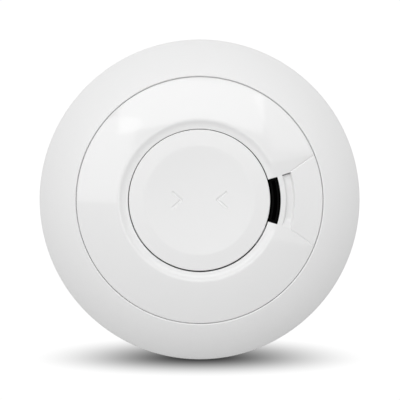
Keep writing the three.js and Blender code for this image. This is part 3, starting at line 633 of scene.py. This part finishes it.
def buildFrontCover():
    # top and underside are grids over the same radii and angles; the cells over the slot are left out
    inner, outer = front["knots"][0], front["knots"][-1]
    slot, edge = front["slotOuter"], front["edge"]
    r, column = coverStations()
    rr, cc = np.meshgrid(r, column, indexing="ij")
    aa = warpedAngle(cc, rr)
    plain = coverTop(rr, aa)
    slotSide = math.radians(front["slotAngle"])
    pastEnd = np.maximum(np.abs(aa) - slotSide, 0) * rr
    fromSlot = np.hypot(np.maximum(rr - slot, 0), pastEnd)
    z = plain - roundOff(fromSlot, edge) - roundOff(rr - inner, edge) - roundOff(outer - rr, edge)
    c = coverInside
    under = np.minimum(coverDome(rr), plain) - c["wall"]
    under = np.where(rr < inner + c["wellWall"], lipHeight - c["well"], under)
    under = np.where(rr > c["rimStart"], np.minimum(under, seamHeight - c["rimDrop"]), under)
    middleR = (rr[:-1] + rr[1:]) / 2
    nextColumn = np.roll(column, -1)
    middleColumn = np.abs(np.angle(np.exp(1j * column) + np.exp(1j * nextColumn)))
    present = ~((middleR < slot) & (middleColumn[None, :] < slotSide))
    xy = np.stack((rr * np.cos(aa), rr * np.sin(aa)), axis=-1)
    solids = [maskedShell(np.dstack((xy, z)), np.dstack((xy, under)), present)]
    for circle, radius, angles, foot in (
            (c["bossCircle"], c["bossRadius"], c["bossAngles"], heightsOf("front_cover")[0]),
            (c["postCircle"], c["postRadius"], c["postAngles"], c["postFoot"])):
        roof = float(coverDome(circle)) - c["wall"] + c["joinDepth"]
        solids += [hollowPost(circle, angle, c["pilot"], radius, foot, roof) for angle in angles]
    return makePiece("frontCover", solids, whiteGloss, "head", ("front_cover",))


buttonShape = {
    "radius": 25.03,
    "centre": (-0.05, 0.15),  # the button hangs a little off the middle, within its gap
    "knots": (0.0, 18.9, 19.9, 24.9),
    "tilts": (0, -6.5, 7.0, 7.0),
    "edgeHeight": 0.25,  # above the cover's lip
    "edge": 0.35,
    "face": 1.6,
    "skirtWall": 1.6,
    "skirtDepth": 5.8,  # below the cover's lip
    "markTip": 6.4,
    "markTail": 9.35,
    "markHalfHeight": 2.6,
    "markStroke": 1.05,
    "markDepth": 0.38,
    "markWall": 0.24,
    "tabAngles": (90, 210, 330),
    "tabReach": 1.3,
    "tabThickness": 1.2,
    "tabHalfAngle": 8.0,
    "tabJoin": 0.2,
    "stemX": -12.0,
    "stemRadius": 2.0,
    "stemJoin": 0.4,
}


def segmentDistance(x, y, start, end):
    # shortest distance from each point to the straight stretch between two ends
    (x0, y0), (runX, runY) = start, (end[0] - start[0], end[1] - start[1])
    along = np.clip(((x - x0) * runX + (y - y0) * runY) / (runX ** 2 + runY ** 2), 0, 1)
    return np.hypot(x - x0 - along * runX, y - y0 - along * runY)


def buttonStations():
    # radii and angles of the button's grid, close together at the marks, the dish's turn and the edge
    r = stops((0, 5, 0.5), (5, 11, 0.1), (11, 18.4, 0.4), (18.4, 20.4, 0.12), (20.4, 24.4, 0.4),
              (24.4, buttonShape["radius"], 0.05))
    near = stops((0, 34, 0.5), (34, 90, 1.6))
    half = np.concatenate((near, 180 - near[::-1][1:]))
    return r, np.radians(np.concatenate((half, -half[1:-1][::-1])))


def buttonTop(r, a):
    # dished face with a rounded edge, less two chevrons whose walls are smooth steps
    b = buttonShape
    curve = tiltedHeight(np.append(r[:, 0], b["radius"]), b["knots"], b["tilts"], soften=0.5)
    face = curve[:-1, None] - curve[-1] + lipHeight + b["edgeHeight"] - roundOff(b["radius"] - r, b["edge"])
    x, y = np.abs(r * np.cos(a)), r * np.sin(a)
    tip, tail, half = (b["markTip"], 0), b["markTail"], b["markHalfHeight"]
    away = np.minimum(segmentDistance(x, y, tip, (tail, half)), segmentDistance(x, y, tip, (tail, -half)))
    return face - b["markDepth"] * smoothStep((b["markStroke"] / 2 - away) / b["markWall"] + 0.15)


def buildTestButton():
    # the top's grid goes on down the skirt and across the inside; the stem and tabs are solids of their own
    b = buttonShape
    r, a = buttonStations()
    rr, aa = np.meshgrid(r, a, indexing="ij")
    z = buttonTop(rr, aa)
    centreX, centreY = b["centre"]
    top = np.dstack((centreX + rr * np.cos(aa), centreY + rr * np.sin(aa), z)).reshape(-1, 3)
    foot, ceiling = heightsOf("test_button")[0], float(z[0, 0]) - b["face"]
    inner, skirtFoot = b["radius"] - b["skirtWall"], lipHeight - b["skirtDepth"]
    below = rounded([
        (b["radius"], skirtFoot, 0.2), (inner, skirtFoot, 0.2), (inner, ceiling, 0.8), (0, ceiling, 0)])
    x, y = (centre + below[:, :1] * turn for centre, turn in zip(b["centre"], (np.cos(a), np.sin(a))))
    ring = np.stack((x, y, np.repeat(below[:, 1:], len(a), axis=1)), axis=-1).reshape(-1, 3)
    shell = (np.concatenate((top, ring)), gridQuads(len(r) + len(below), len(a), closeRows=False))
    stemTop = ceiling + b["stemJoin"]
    stem = rounded([
        (0, foot, 0), (b["stemRadius"], foot, 0.3), (b["stemRadius"], stemTop, 0), (0, stemTop, 0)])
    solids = [shell, revolved(stem, 48, (b["stemX"], 0), onAxis=True)]
    for angle in b["tabAngles"]:
        solids.append(sectorBlock(
            (inner + b["tabJoin"], b["radius"] + b["tabReach"]),
            (angle - b["tabHalfAngle"], angle + b["tabHalfAngle"]),
            (skirtFoot, skirtFoot + b["tabThickness"])))
    return makePiece("testButton", solids, whiteSilk, "button", ("test_button",))


trim = {
    "bore": 44.0,
    "edge": 0.45,
    "innerTilt": 24.0,
    "rimInset": 0.32,
    "skirt": 4.0,
    "wall": 2.0,
    "ledgeDrop": 2.15,
    "ledgeWidth": 2.2,
    "ledgeThickness": 1.5,
    "lip": 1.3,
    "foot": ((0, 0.35), (0.1, 0.1), (0.35, 0)),  # inwards and up from the outer lower corner
    "footInner": 0.25,
}


def domeArc(start, tilt, end, steps):
    # circle arc that leaves the start at a tilt and meets the end; sin(tilt) grows evenly with radius
    (r0, z0), (r1, z1) = start, end
    last = 2 * math.atan2(z0 - z1, r1 - r0) - math.radians(tilt)
    tilts = np.linspace(math.radians(tilt), last, steps + 1)
    bend = (r1 - r0) / (math.sin(last) - math.sin(tilts[0]))
    r = r0 + bend * (np.sin(tilts) - math.sin(tilts[0]))
    z = z0 - bend * (math.cos(tilts[0]) - np.cos(tilts))
    return np.stack((r, z), axis=1), last


def buildTrimRing():
    # ledge, rounded lip, dome, rim fillet and foot as one profile, turned about the axis
    t = trim
    low, radius = heightsOf("trim_ring")[0], radiusOf("trim_ring")
    rimStart = (radius - t["rimInset"], low + t["skirt"])
    dome, last = domeArc((t["bore"] + t["edge"], seamHeight), t["innerTilt"], rimStart, 48)
    bend = t["rimInset"] / (1 - math.sin(last))
    tilts = np.linspace(last, math.pi / 2, 9)[1:]
    rim = np.stack((dome[-1, 0] + bend * (np.sin(tilts) - math.sin(last)),
                    dome[-1, 1] - bend * (math.cos(last) - np.cos(tilts))), axis=1)
    turn = np.linspace(0, math.pi / 2, 6)[:-1]
    lip = np.stack((t["bore"] + t["edge"] * (1 - np.cos(turn)),
                    seamHeight - t["edge"] * (1 - np.sin(turn))), axis=1)
    ledgeTop = seamHeight - t["ledgeDrop"]
    ledgeFoot, ledgeBore = ledgeTop - t["ledgeThickness"], t["bore"] - t["ledgeWidth"]
    innerEnd = (radius - t["wall"], low + t["lip"])
    inside = domeArc((t["bore"], ledgeFoot), t["innerTilt"], innerEnd, 24)[0]
    profile = np.concatenate((
        [(ledgeBore, ledgeFoot), (ledgeBore, ledgeTop), (t["bore"], ledgeTop)], lip, dome, rim,
        [(radius - inwards, low + up) for inwards, up in t["foot"]],
        [(radius - t["wall"] + t["footInner"], low), (radius - t["wall"], low + t["footInner"])],
        inside[:0:-1]))
    return makePiece("trimRing", [revolved(profile, 320)], whiteSilk, "head", ("trim_ring",))


buildFrontCover()
buildTestButton()
buildTrimRing()
print("front pieces ready")


bayonet = {
    "angles": (0, 120, 240),
    "twist": 18,
    "inner": 38.0,
    "stem": 2.2,
    "reach": 5.4,
    "halfAngle": 8.0,
    "thickness": 1.6,
    "endRoom": 1.0,
    "sideRoom": 0.4,
    "gap": 0.3,
}

plateShape = {
    "thickness": 2.4,
    "rimWall": 2.0,
    "bevel": 0.8,
    "edge": 0.3,
    "slotX": 30.0,
    "slotHalfWidth": 2.2,
    "slotHalfRun": 3.5,
    "recess": 1.0,
    "pockets": (12.0, 24.0),
    "pocketHalfAngle": 34.0,
    "pocketDepth": 0.9,
    "pocketAngles": (45, 135, 225, 315),
    "prongX": 2.45,
    "prongWidth": 1.5,
    "prongY": (11.5, 16.5),
    "prongLow": 1.0,
    "prongRoom": 0.1,
}

housingShape = {
    "wall": 2.0,
    "floorEdge": 3.0,  # width of the back's outer band
    "back": 50.5,
    "backBevel": (1.5, 0.6),
    "shoulder": 52.5,
    "shoulderRise": 2.2,
    "flare": 2.0,
    "insideRise": 3.0,
    "insideRun": 1.0,
    "edge": 0.3,
    "screwCircle": 38.0,
    "screwAngles": (60, 180, 300),
    "wellRadius": 2.8,
    "wellDepth": 3.8,
    "bossRadius": 3.2,
    "bore": 1.55,
    "bossTop": 24.1,
    "join": 0.3,
    "slider": ((-3.69, 3.69), (12.2, 15.8)),
    "cradleX": (-11, 11),
    "cradleHalfWidth": 1.0,
    "cradleY": (-30.5, -9.5),
    "cradleTop": 14.9,
    "cellRadius": 8.8,
    "cellY": -20.0,
    "cellZ": 15.4,
}


def windowLoop(angle):
    # bayonet window: wide where a lug goes in, narrow along the way it turns
    b = bayonet
    room = b["halfAngle"] + b["endRoom"]
    locked, free = angle + room, angle - b["twist"] + room
    inner = b["inner"] - b["sideRoom"]
    stem, reach = (b["inner"] + b[part] + b["sideRoom"] for part in ("stem", "reach"))
    return np.concatenate((
        arcPoints(inner, free - 2 * room, locked),
        arcPoints(stem, locked, free, 8),
        arcPoints(reach, free, free - 2 * room)))


def buildMountingPlate():
    # turned rim, floor in three flat layers, a stem and lug at each hook, and the fork's two prongs
    p, b = plateShape, bayonet
    low, high = heightsOf("mounting_plate")
    floorTop, rimTop = p["thickness"], housingBack - b["gap"]
    radius = radiusOf("mounting_plate")
    inside = radius - p["rimWall"]
    edge = p["edge"]
    rim = rounded([
        (inside, low, 0), (radius - p["bevel"], low, edge), (radius, low + p["bevel"], edge),
        (radius, rimTop, edge), (inside, rimTop, edge), (inside, floorTop, 0)])
    narrow, wide = (
        [slotLoop(side * p["slotX"], halfWidth, p["slotHalfRun"]) for side in (-1, 1)]
        for halfWidth in (p["slotHalfWidth"], 2 * p["slotHalfWidth"]))
    inner, outer = p["pockets"]
    pockets = []
    for angle in p["pocketAngles"]:
        start, end = angle - p["pocketHalfAngle"], angle + p["pocketHalfAngle"]
        pockets.append(np.concatenate((arcPoints(inner, start, end), arcPoints(outer, end, start))))
    face, step = circleLoop(inside), floorTop - p["recess"]
    solids = [
        revolved(rim, 256),
        sheetWithHoles(face, narrow + pockets, low, p["pocketDepth"]),
        sheetWithHoles(face, narrow, p["pocketDepth"], step),
        sheetWithHoles(face, wide, step, floorTop)]
    for angle in b["angles"]:
        span = (angle - b["halfAngle"], angle + b["halfAngle"])
        solids.append(sectorBlock((b["inner"], b["inner"] + b["stem"]), span, (p["prongLow"], high)))
        solids.append(sectorBlock((b["inner"], b["inner"] + b["reach"]), span, (high - b["thickness"], high)))
    for side in (-1, 1):
        across = (side * p["prongX"] - p["prongWidth"] / 2, side * p["prongX"] + p["prongWidth"] / 2)
        prong = roundedBar(across, p["prongY"], (p["prongLow"], rimTop - p["prongRoom"]))
        solids.append(turnedAbout(prong, math.radians(b["twist"] / 2)))
    return makePiece("mountingPlate", solids, whiteSatin, "plate", ("mounting_plate",))


def housingShell(low, high):
    # outline of back, shoulder and flared side, outside and then inside; corners are (r, z, rounding)
    h = housingShape
    radius, wall, seat = radiusOf("rear_housing"), h["wall"], h["back"] - h["floorEdge"]
    bevelOut, bevelUp = h["backBevel"]
    outside = [
        (seat, low, 0),
        (h["back"], low, h["edge"]),
        (h["back"] + bevelOut, low + bevelUp, 1.0),
        (h["shoulder"], low + h["shoulderRise"], 1.2),
        (radius, high - h["flare"], 1.5),
        (radius, high, h["edge"])]
    inside = [
        (radius - wall, high, h["edge"]),
        (radius - wall, high - h["flare"], 0.5),
        (h["shoulder"] - wall, low + h["insideRise"], 0.8),
        (h["shoulder"] - wall - h["insideRun"], low + wall, 0.5),
        (seat, low + wall, 0)]
    return revolved(rounded(outside + inside), 256)


def cradleRib(x, foot):
    # upright rib across the cell, less the circle that the cell lies in
    h = housingShape
    turn = np.linspace(0, math.pi, 25)
    around = np.stack((np.cos(turn), np.sin(turn)), axis=1)
    bowl = (h["cellY"], h["cellZ"]) - h["cellRadius"] * around
    bowl = bowl[bowl[:, 1] < h["cradleTop"]][::-1]
    yLow, yHigh = h["cradleY"]
    section = np.concatenate((
        [(yHigh, foot), (yHigh, h["cradleTop"])], bowl, [(yLow, h["cradleTop"]), (yLow, foot)]))
    flat, faces = sheetWithHoles(section, [], x - h["cradleHalfWidth"], x + h["cradleHalfWidth"])
    return flat[:, [2, 0, 1]], faces


def buildRearHousing():
    # turned shell, flat back with its openings, screw bosses and the cell's cradle
    h = housingShape
    low, high = housingBack, heightsOf("air_inlet_ring")[0] - bayonet["gap"]
    floorTop = low + h["wall"]
    (x0, x1), (y0, y1) = h["slider"]
    places = [onCircle(h["screwCircle"], angle) for angle in h["screwAngles"]]
    holes = [windowLoop(angle) for angle in bayonet["angles"]] + [[(x0, y0), (x1, y0), (x1, y1), (x0, y1)]]
    holes += [circleLoop(h["wellRadius"], 40, place) for place in places]
    face = circleLoop(h["back"] - h["floorEdge"])
    solids = [housingShell(low, high), sheetWithHoles(face, holes, low, floorTop)]
    well, foot, top = low + h["wellDepth"], floorTop - h["join"], h["bossTop"]
    boss = [(h["wellRadius"], foot), (h["bossRadius"], foot), (h["bossRadius"], top),
            (h["bore"], top), (h["bore"], well), (h["wellRadius"], well)]
    solids += [revolved(boss, 40, place) for place in places]
    solids += [cradleRib(x, foot) for x in h["cradleX"]]
    return makePiece("rearHousing", solids, whiteSatin, "head", ("rear_housing",))


inlet = {
    "depth": 3.6,
    "hoop": 0.8,
    "edge": 0.15,
    "vanes": 36,
    "vaneEnds": (0.4, 0.3),  # short of the hoop's inner and outer radius
    "vaneHalf": 0.5,
    "join": 0.2,
}


def buildAirInlet():
    # two hoops with upright vanes between them
    low, high = heightsOf("air_inlet_ring")
    outer = radiusOf("air_inlet_ring")
    inner, edge, hoop = outer - inlet["depth"], inlet["edge"], inlet["hoop"]
    solids = []
    for z in (low, high - hoop):
        corners = ((inner, z), (outer, z), (outer, z + hoop), (inner, z + hoop))
        solids.append(revolved(rounded([(*corner, edge) for corner in corners], 3), 256))
    fromInner, fromOuter = inlet["vaneEnds"]
    vane = roundedBar((inner + fromInner, outer - fromOuter), (-inlet["vaneHalf"], inlet["vaneHalf"]),
                      (low + inlet["join"], high - inlet["join"]))
    for i in range(inlet["vanes"]):
        solids.append(turnedAbout(vane, 2 * math.pi * (i + 0.5) / inlet["vanes"]))
    return makePiece("airInletRing", solids, whiteSatin, "head", ("air_inlet_ring",))


coil = {
    "angles": (90, 210, 330),
    "circle": 17.0,
    "radius": 2.2,
    "wire": 0.3,
    "turns": 4,
    "press": 1.2,
    "closing": 0.3,  # how much flatter the end turns are
    "sides": 12,
}


def buildSpring(number, angle):
    # round wire along p(t) = (R cos 2 pi n t, R sin 2 pi n t, h(t)); h is flatter at both ends
    c = coil
    name = f"button_spring_{number}"
    low, high = heightsOf(name)
    t = np.linspace(0, 1, c["turns"] * 40 + 1)
    turn = 2 * np.pi * c["turns"] * t
    rise = (1 - c["closing"]) * t + c["closing"] * smoothStep(t)
    height = low + c["wire"] + (high - low - 2 * c["wire"]) * rise
    middle = np.stack((c["radius"] * np.cos(turn), c["radius"] * np.sin(turn), height), axis=1)
    ahead = np.gradient(middle, axis=0)
    ahead /= np.linalg.norm(ahead, axis=1)[:, None]
    outward = np.stack((np.cos(turn), np.sin(turn), np.zeros_like(turn)), axis=1)
    across = np.cross(ahead, outward)
    a = (np.arange(c["sides"]) * 2 * np.pi / c["sides"])[None, :, None]
    tube = middle[:, None] + c["wire"] * (outward[:, None] * np.cos(a) + across[:, None] * np.sin(a))
    ends = [np.repeat(middle[i][None, None], c["sides"], axis=1) for i in (0, -1)]
    tube = np.concatenate((ends[0], tube, ends[1]))
    x, y = onCircle(c["circle"], angle)
    solid = (tube.reshape(-1, 3) + (x, y, 0), gridQuads(len(tube), c["sides"], closeRows=False))
    spring = makePiece(f"buttonSpring{number}", [solid], steel, "head", (name,))
    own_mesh(spring)


screen = {
    "inset": 0.2,
    "wire": 0.16,
    "pitch": 0.75,
    "barEdge": 0.03,
    "hoops": 7,
    "hoopInset": 0.1,
    "sides": 192,
}


def buildInsectScreen():
    # upright wires all round, and hoops inside them
    low, high = heightsOf("insect_screen")
    radius, wire = radiusOf("insect_screen") - screen["inset"], screen["wire"]
    half, count = wire / 2, int(2 * math.pi * radius / screen["pitch"])
    bar = roundedBar((radius - half, radius + half), (-half, half), (low, high), screen["barEdge"])
    solids = [turnedAbout(bar, 2 * math.pi * i / count) for i in range(count)]
    inner, outer = radius - wire, radius - wire / 3
    for z in np.linspace(low + screen["hoopInset"], high - screen["hoopInset"], screen["hoops"]):
        hoop = [(inner, z - half), (outer, z - half), (outer, z + half), (inner, z + half)]
        solids.append(revolved(hoop, screen["sides"]))
    return makePiece("insectScreen", solids, screenSteel, "head", ("insect_screen",))


steel = drawnMetal("brightSteel", (0.6, 0.6, 0.61), roughness=(0.2, 0.38))
screenSteel = drawnMetal("screenWire", (0.3, 0.3, 0.31), roughness=(0.3, 0.45), scale=1500)
housingBack = heightsOf("rear_housing")[0]
buildMountingPlate()
buildRearHousing()
for number, angle in enumerate(coil["angles"], 1):
    buildSpring(number, angle)
buildAirInlet()
buildInsectScreen()
print("side pieces ready")


nodeMaterials = {
    "sounder_chassis": blackMatteAndSlotShade,
    "sounder_cap": blackMatteAndSlotShade,
    "piezo_disc": drawnMetal("piezoBrass", (0.75, 0.55, 0.25), roughness=(0.25, 0.4), stretch=(1, 1, 6)),
    "circuit_board": circuitMask(),
    "controller_chip": mouldedPlastic(
        "chipEpoxy", (0.02, 0.02, 0.022), spread=0.3, roughness=(0.45, 0.6), grain=1.0),
    "driver_chip": mouldedPlastic(
        "driverEpoxy", (0.022, 0.022, 0.022), spread=0.3, roughness=(0.5, 0.6), grain=1.0),
    "storage_capacitor": mouldedPlastic(
        "capacitorSleeve", (0.03, 0.05, 0.16), spread=0.15, roughness=(0.2, 0.35)),
    "filter_capacitor": mouldedPlastic("filterSleeve", (0.02, 0.03, 0.1), spread=0.15, roughness=(0.2, 0.35)),
    "boost_inductor": mouldedPlastic(
        "ferriteCore", (0.03, 0.028, 0.026), spread=0.4, roughness=(0.7, 0.85), grain=1.0),
    "indicator_led": clearPlastic("redLens", (0.7, 0.03, 0.02)),
    "light_pipe": clearPlastic("clearPipe", (0.92, 0.94, 0.95)),
    "test_switch": mouldedPlastic("switchBody", (0.03, 0.03, 0.03), spread=0.3, roughness=(0.4, 0.55)),
    "test_switch_plunger": mouldedPlastic(
        "plungerNylon", (0.05, 0.05, 0.05), spread=0.2, roughness=(0.35, 0.5)),
    "on_off_switch": steel,
    "on_off_knob": mouldedPlastic("knobNylon", (0.03, 0.03, 0.03), spread=0.2, roughness=(0.4, 0.5)),
    "on_off_slider": mouldedPlastic("sliderAcetal", (0.5, 0.03, 0.02), spread=0.1, roughness=(0.3, 0.45)),
    "lithium_cell": mouldedPlastic("cellSleeve", (0.04, 0.11, 0.3), spread=0.15, roughness=(0.2, 0.35)),
    "cell_tag_positive": steel,
    "cell_tag_negative": steel,
    "thermistor": mouldedPlastic("dippedEpoxy", (0.02, 0.06, 0.2), spread=0.2, roughness=(0.15, 0.3)),
}
for number in (1, 2, 3):
    for kind in ("chassis_screw", "housing_screw"):
        nodeMaterials[f"{kind}_{number}"] = steel
for name, material in nodeMaterials.items():
    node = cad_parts[name]
    node.data.materials.clear()
    node.data.materials.append(material)
print("frame nodes dressed")


stage = {
    "distance": 0.9,  # from the camera to the trim ring's rim
    "rimHeight": 0.0314,
    "lens": 225.3,
    "tilt": 1.5,  # degrees that the camera looks down from
    "aim": (0.00014, -0.00013),
    "floorReach": 1.5,
    "floorGap": 0.0002,
    "floorBounce": 0.4,
    "floorGlow": 0.231,  # light that the floor sends back from lamps out of reach of the detector
    "skyLight": 0.62,
    "skySeen": 1.03,
    "shadowMiddle": -0.0228,
    "shadowHalfWidth": 0.066,
    "shadowAhead": 0.079,
    "shadowBehind": 0.108,
    "shadowDepth": 0.98,
}


def buildCamera():
    camera = bpy.data.objects.new("camera", bpy.data.cameras.new("camera"))
    camera.data.lens = stage["lens"]
    camera.data.sensor_width = 36
    tilt, (x, z) = math.radians(stage["tilt"]), stage["aim"]
    back, up = stage["distance"] * math.cos(tilt), stage["distance"] * math.sin(tilt)
    camera.location = (x, -back - stage["rimHeight"], z + up)
    camera.rotation_euler = (math.pi / 2 - tilt, 0, 0)
    camera.data.clip_end = 50
    bpy.context.scene.collection.objects.link(camera)
    bpy.context.scene.camera = camera


def contactShade(tree):
    # soft ellipse under the rim: half of 1 + cos(pi t), t = distance from its middle over its reach
    spot = addNode(tree, "ShaderNodeTexCoord")
    parts = addNode(tree, "ShaderNodeSeparateXYZ")
    tree.links.new(spot.outputs["Object"], parts.inputs[0])
    sideways = mathNode(tree, "DIVIDE", parts.outputs["X"], stage["shadowHalfWidth"])
    forward = mathNode(tree, "SUBTRACT", stage["shadowMiddle"], parts.outputs["Y"])
    ahead = mathNode(tree, "DIVIDE", forward, stage["shadowAhead"])
    behind = mathNode(tree, "DIVIDE", forward, -stage["shadowBehind"])
    depth = mathNode(tree, "MAXIMUM", ahead, behind)
    squares = [mathNode(tree, "MULTIPLY", part, part) for part in (sideways, depth)]
    t = mathNode(tree, "MINIMUM", mathNode(tree, "SQRT", mathNode(tree, "ADD", *squares)), 1.0)
    wave = mathNode(tree, "COSINE", mathNode(tree, "MULTIPLY", t, math.pi))
    return mathNode(tree, "MULTIPLY", mathNode(tree, "ADD", wave, 1.0), stage["shadowDepth"] / 2)


def buildFloor():
    # seen directly, the floor is the sky's white with a soft shade; to other rays it is a plain reflector
    material, tree, shader = newMaterial("studioFloor")
    surface = placeGroup(tree, mouldedGroup, Scale=0.2, Grain=0.3, Smudge=0.4)
    dark, light = stage["floorBounce"] * 0.99, stage["floorBounce"] * 1.01
    colourBetween(tree, shader, surface.outputs["Tone"], [dark] * 3, [light] * 3)
    shader.inputs["Roughness"].default_value = 0.9
    shader.inputs["Specular IOR Level"].default_value = 0.1
    shader.inputs["Emission Color"].default_value = (1, 1, 1, 1)
    shader.inputs["Emission Strength"].default_value = stage["floorGlow"]
    path = addNode(tree, "ShaderNodeLightPath")
    glow = addNode(tree, "ShaderNodeEmission")
    lit = mathNode(tree, "SUBTRACT", 1.0, contactShade(tree))
    tree.links.new(mathNode(tree, "MULTIPLY", lit, stage["skySeen"]), glow.inputs["Strength"])
    mix = tree.nodes.new("ShaderNodeMixShader")
    tree.links.new(path.outputs["Is Camera Ray"], mix.inputs[0])
    tree.links.new(shader.outputs[0], mix.inputs[1])
    tree.links.new(glow.outputs[0], mix.inputs[2])
    tree.links.new(mix.outputs[0], tree.nodes["Material Output"].inputs["Surface"])
    mesh = bpy.data.meshes.new("studioFloor")
    reach, level = stage["floorReach"], -radiusOf("trim_ring") * 0.001 - stage["floorGap"]
    corners = [(x * reach, y * reach, level) for x, y in ((-1, -1), (1, -1), (1, 1), (-1, 1))]
    mesh.from_pydata(corners, [], [(0, 1, 2, 3)])
    mesh.materials.append(material)
    floor = bpy.data.objects.new("studioFloor", mesh)
    bpy.context.scene.collection.objects.link(floor)


lamps = {
    # name: (place, aim, width, height, watts)
    "upperFront": ((-0.1, -1.48, 1.05), (0, -0.03, 0), 1.8, 0.7, 7.86),
    "upperLeft": ((-1.05, -1.4, 0.42), (0, -0.03, 0), 0.8, 1.0, 3.74),
    "upperRight": ((1.0, -1.4, 0.9), (0, -0.03, 0), 0.6, 0.8, 1.51),
    "frontFill": ((0.0, -2.6, 0.0), (0, -0.03, 0), 1.4, 1.0, 6.55),
}


def buildLamps():
    for name, (place, aim, width, height, watts) in lamps.items():
        light = bpy.data.lights.new(name, "AREA")
        light.shape = "RECTANGLE"
        light.size, light.size_y = width, height
        light.energy = watts
        lamp = bpy.data.objects.new(name, light)
        lamp.location = place
        lamp.rotation_euler = (Vector(aim) - Vector(place)).to_track_quat("-Z", "Y").to_euler()
        bpy.context.scene.collection.objects.link(lamp)


def buildWorld():
    # the sky is plain white where it is seen, and dimmer as a light
    world = bpy.data.worlds.new("studioSky")
    bpy.context.scene.world = world
    world.use_nodes = True
    tree = world.node_tree
    sky = tree.nodes["Background"]
    sky.inputs["Color"].default_value = (1, 1, 1, 1)
    sky.inputs["Strength"].default_value = stage["skyLight"]
    seen = addNode(tree, "ShaderNodeBackground", Color=(1, 1, 1, 1), Strength=stage["skySeen"])
    path = addNode(tree, "ShaderNodeLightPath")
    mix = tree.nodes.new("ShaderNodeMixShader")
    tree.links.new(path.outputs["Is Camera Ray"], mix.inputs[0])
    tree.links.new(sky.outputs[0], mix.inputs[1])
    tree.links.new(seen.outputs[0], mix.inputs[2])
    tree.links.new(mix.outputs[0], tree.nodes["World Output"].inputs["Surface"])


buildCamera()
buildFloor()
buildLamps()
buildWorld()
bpy.context.scene.view_settings.view_transform = "Standard"
print("stage ready")
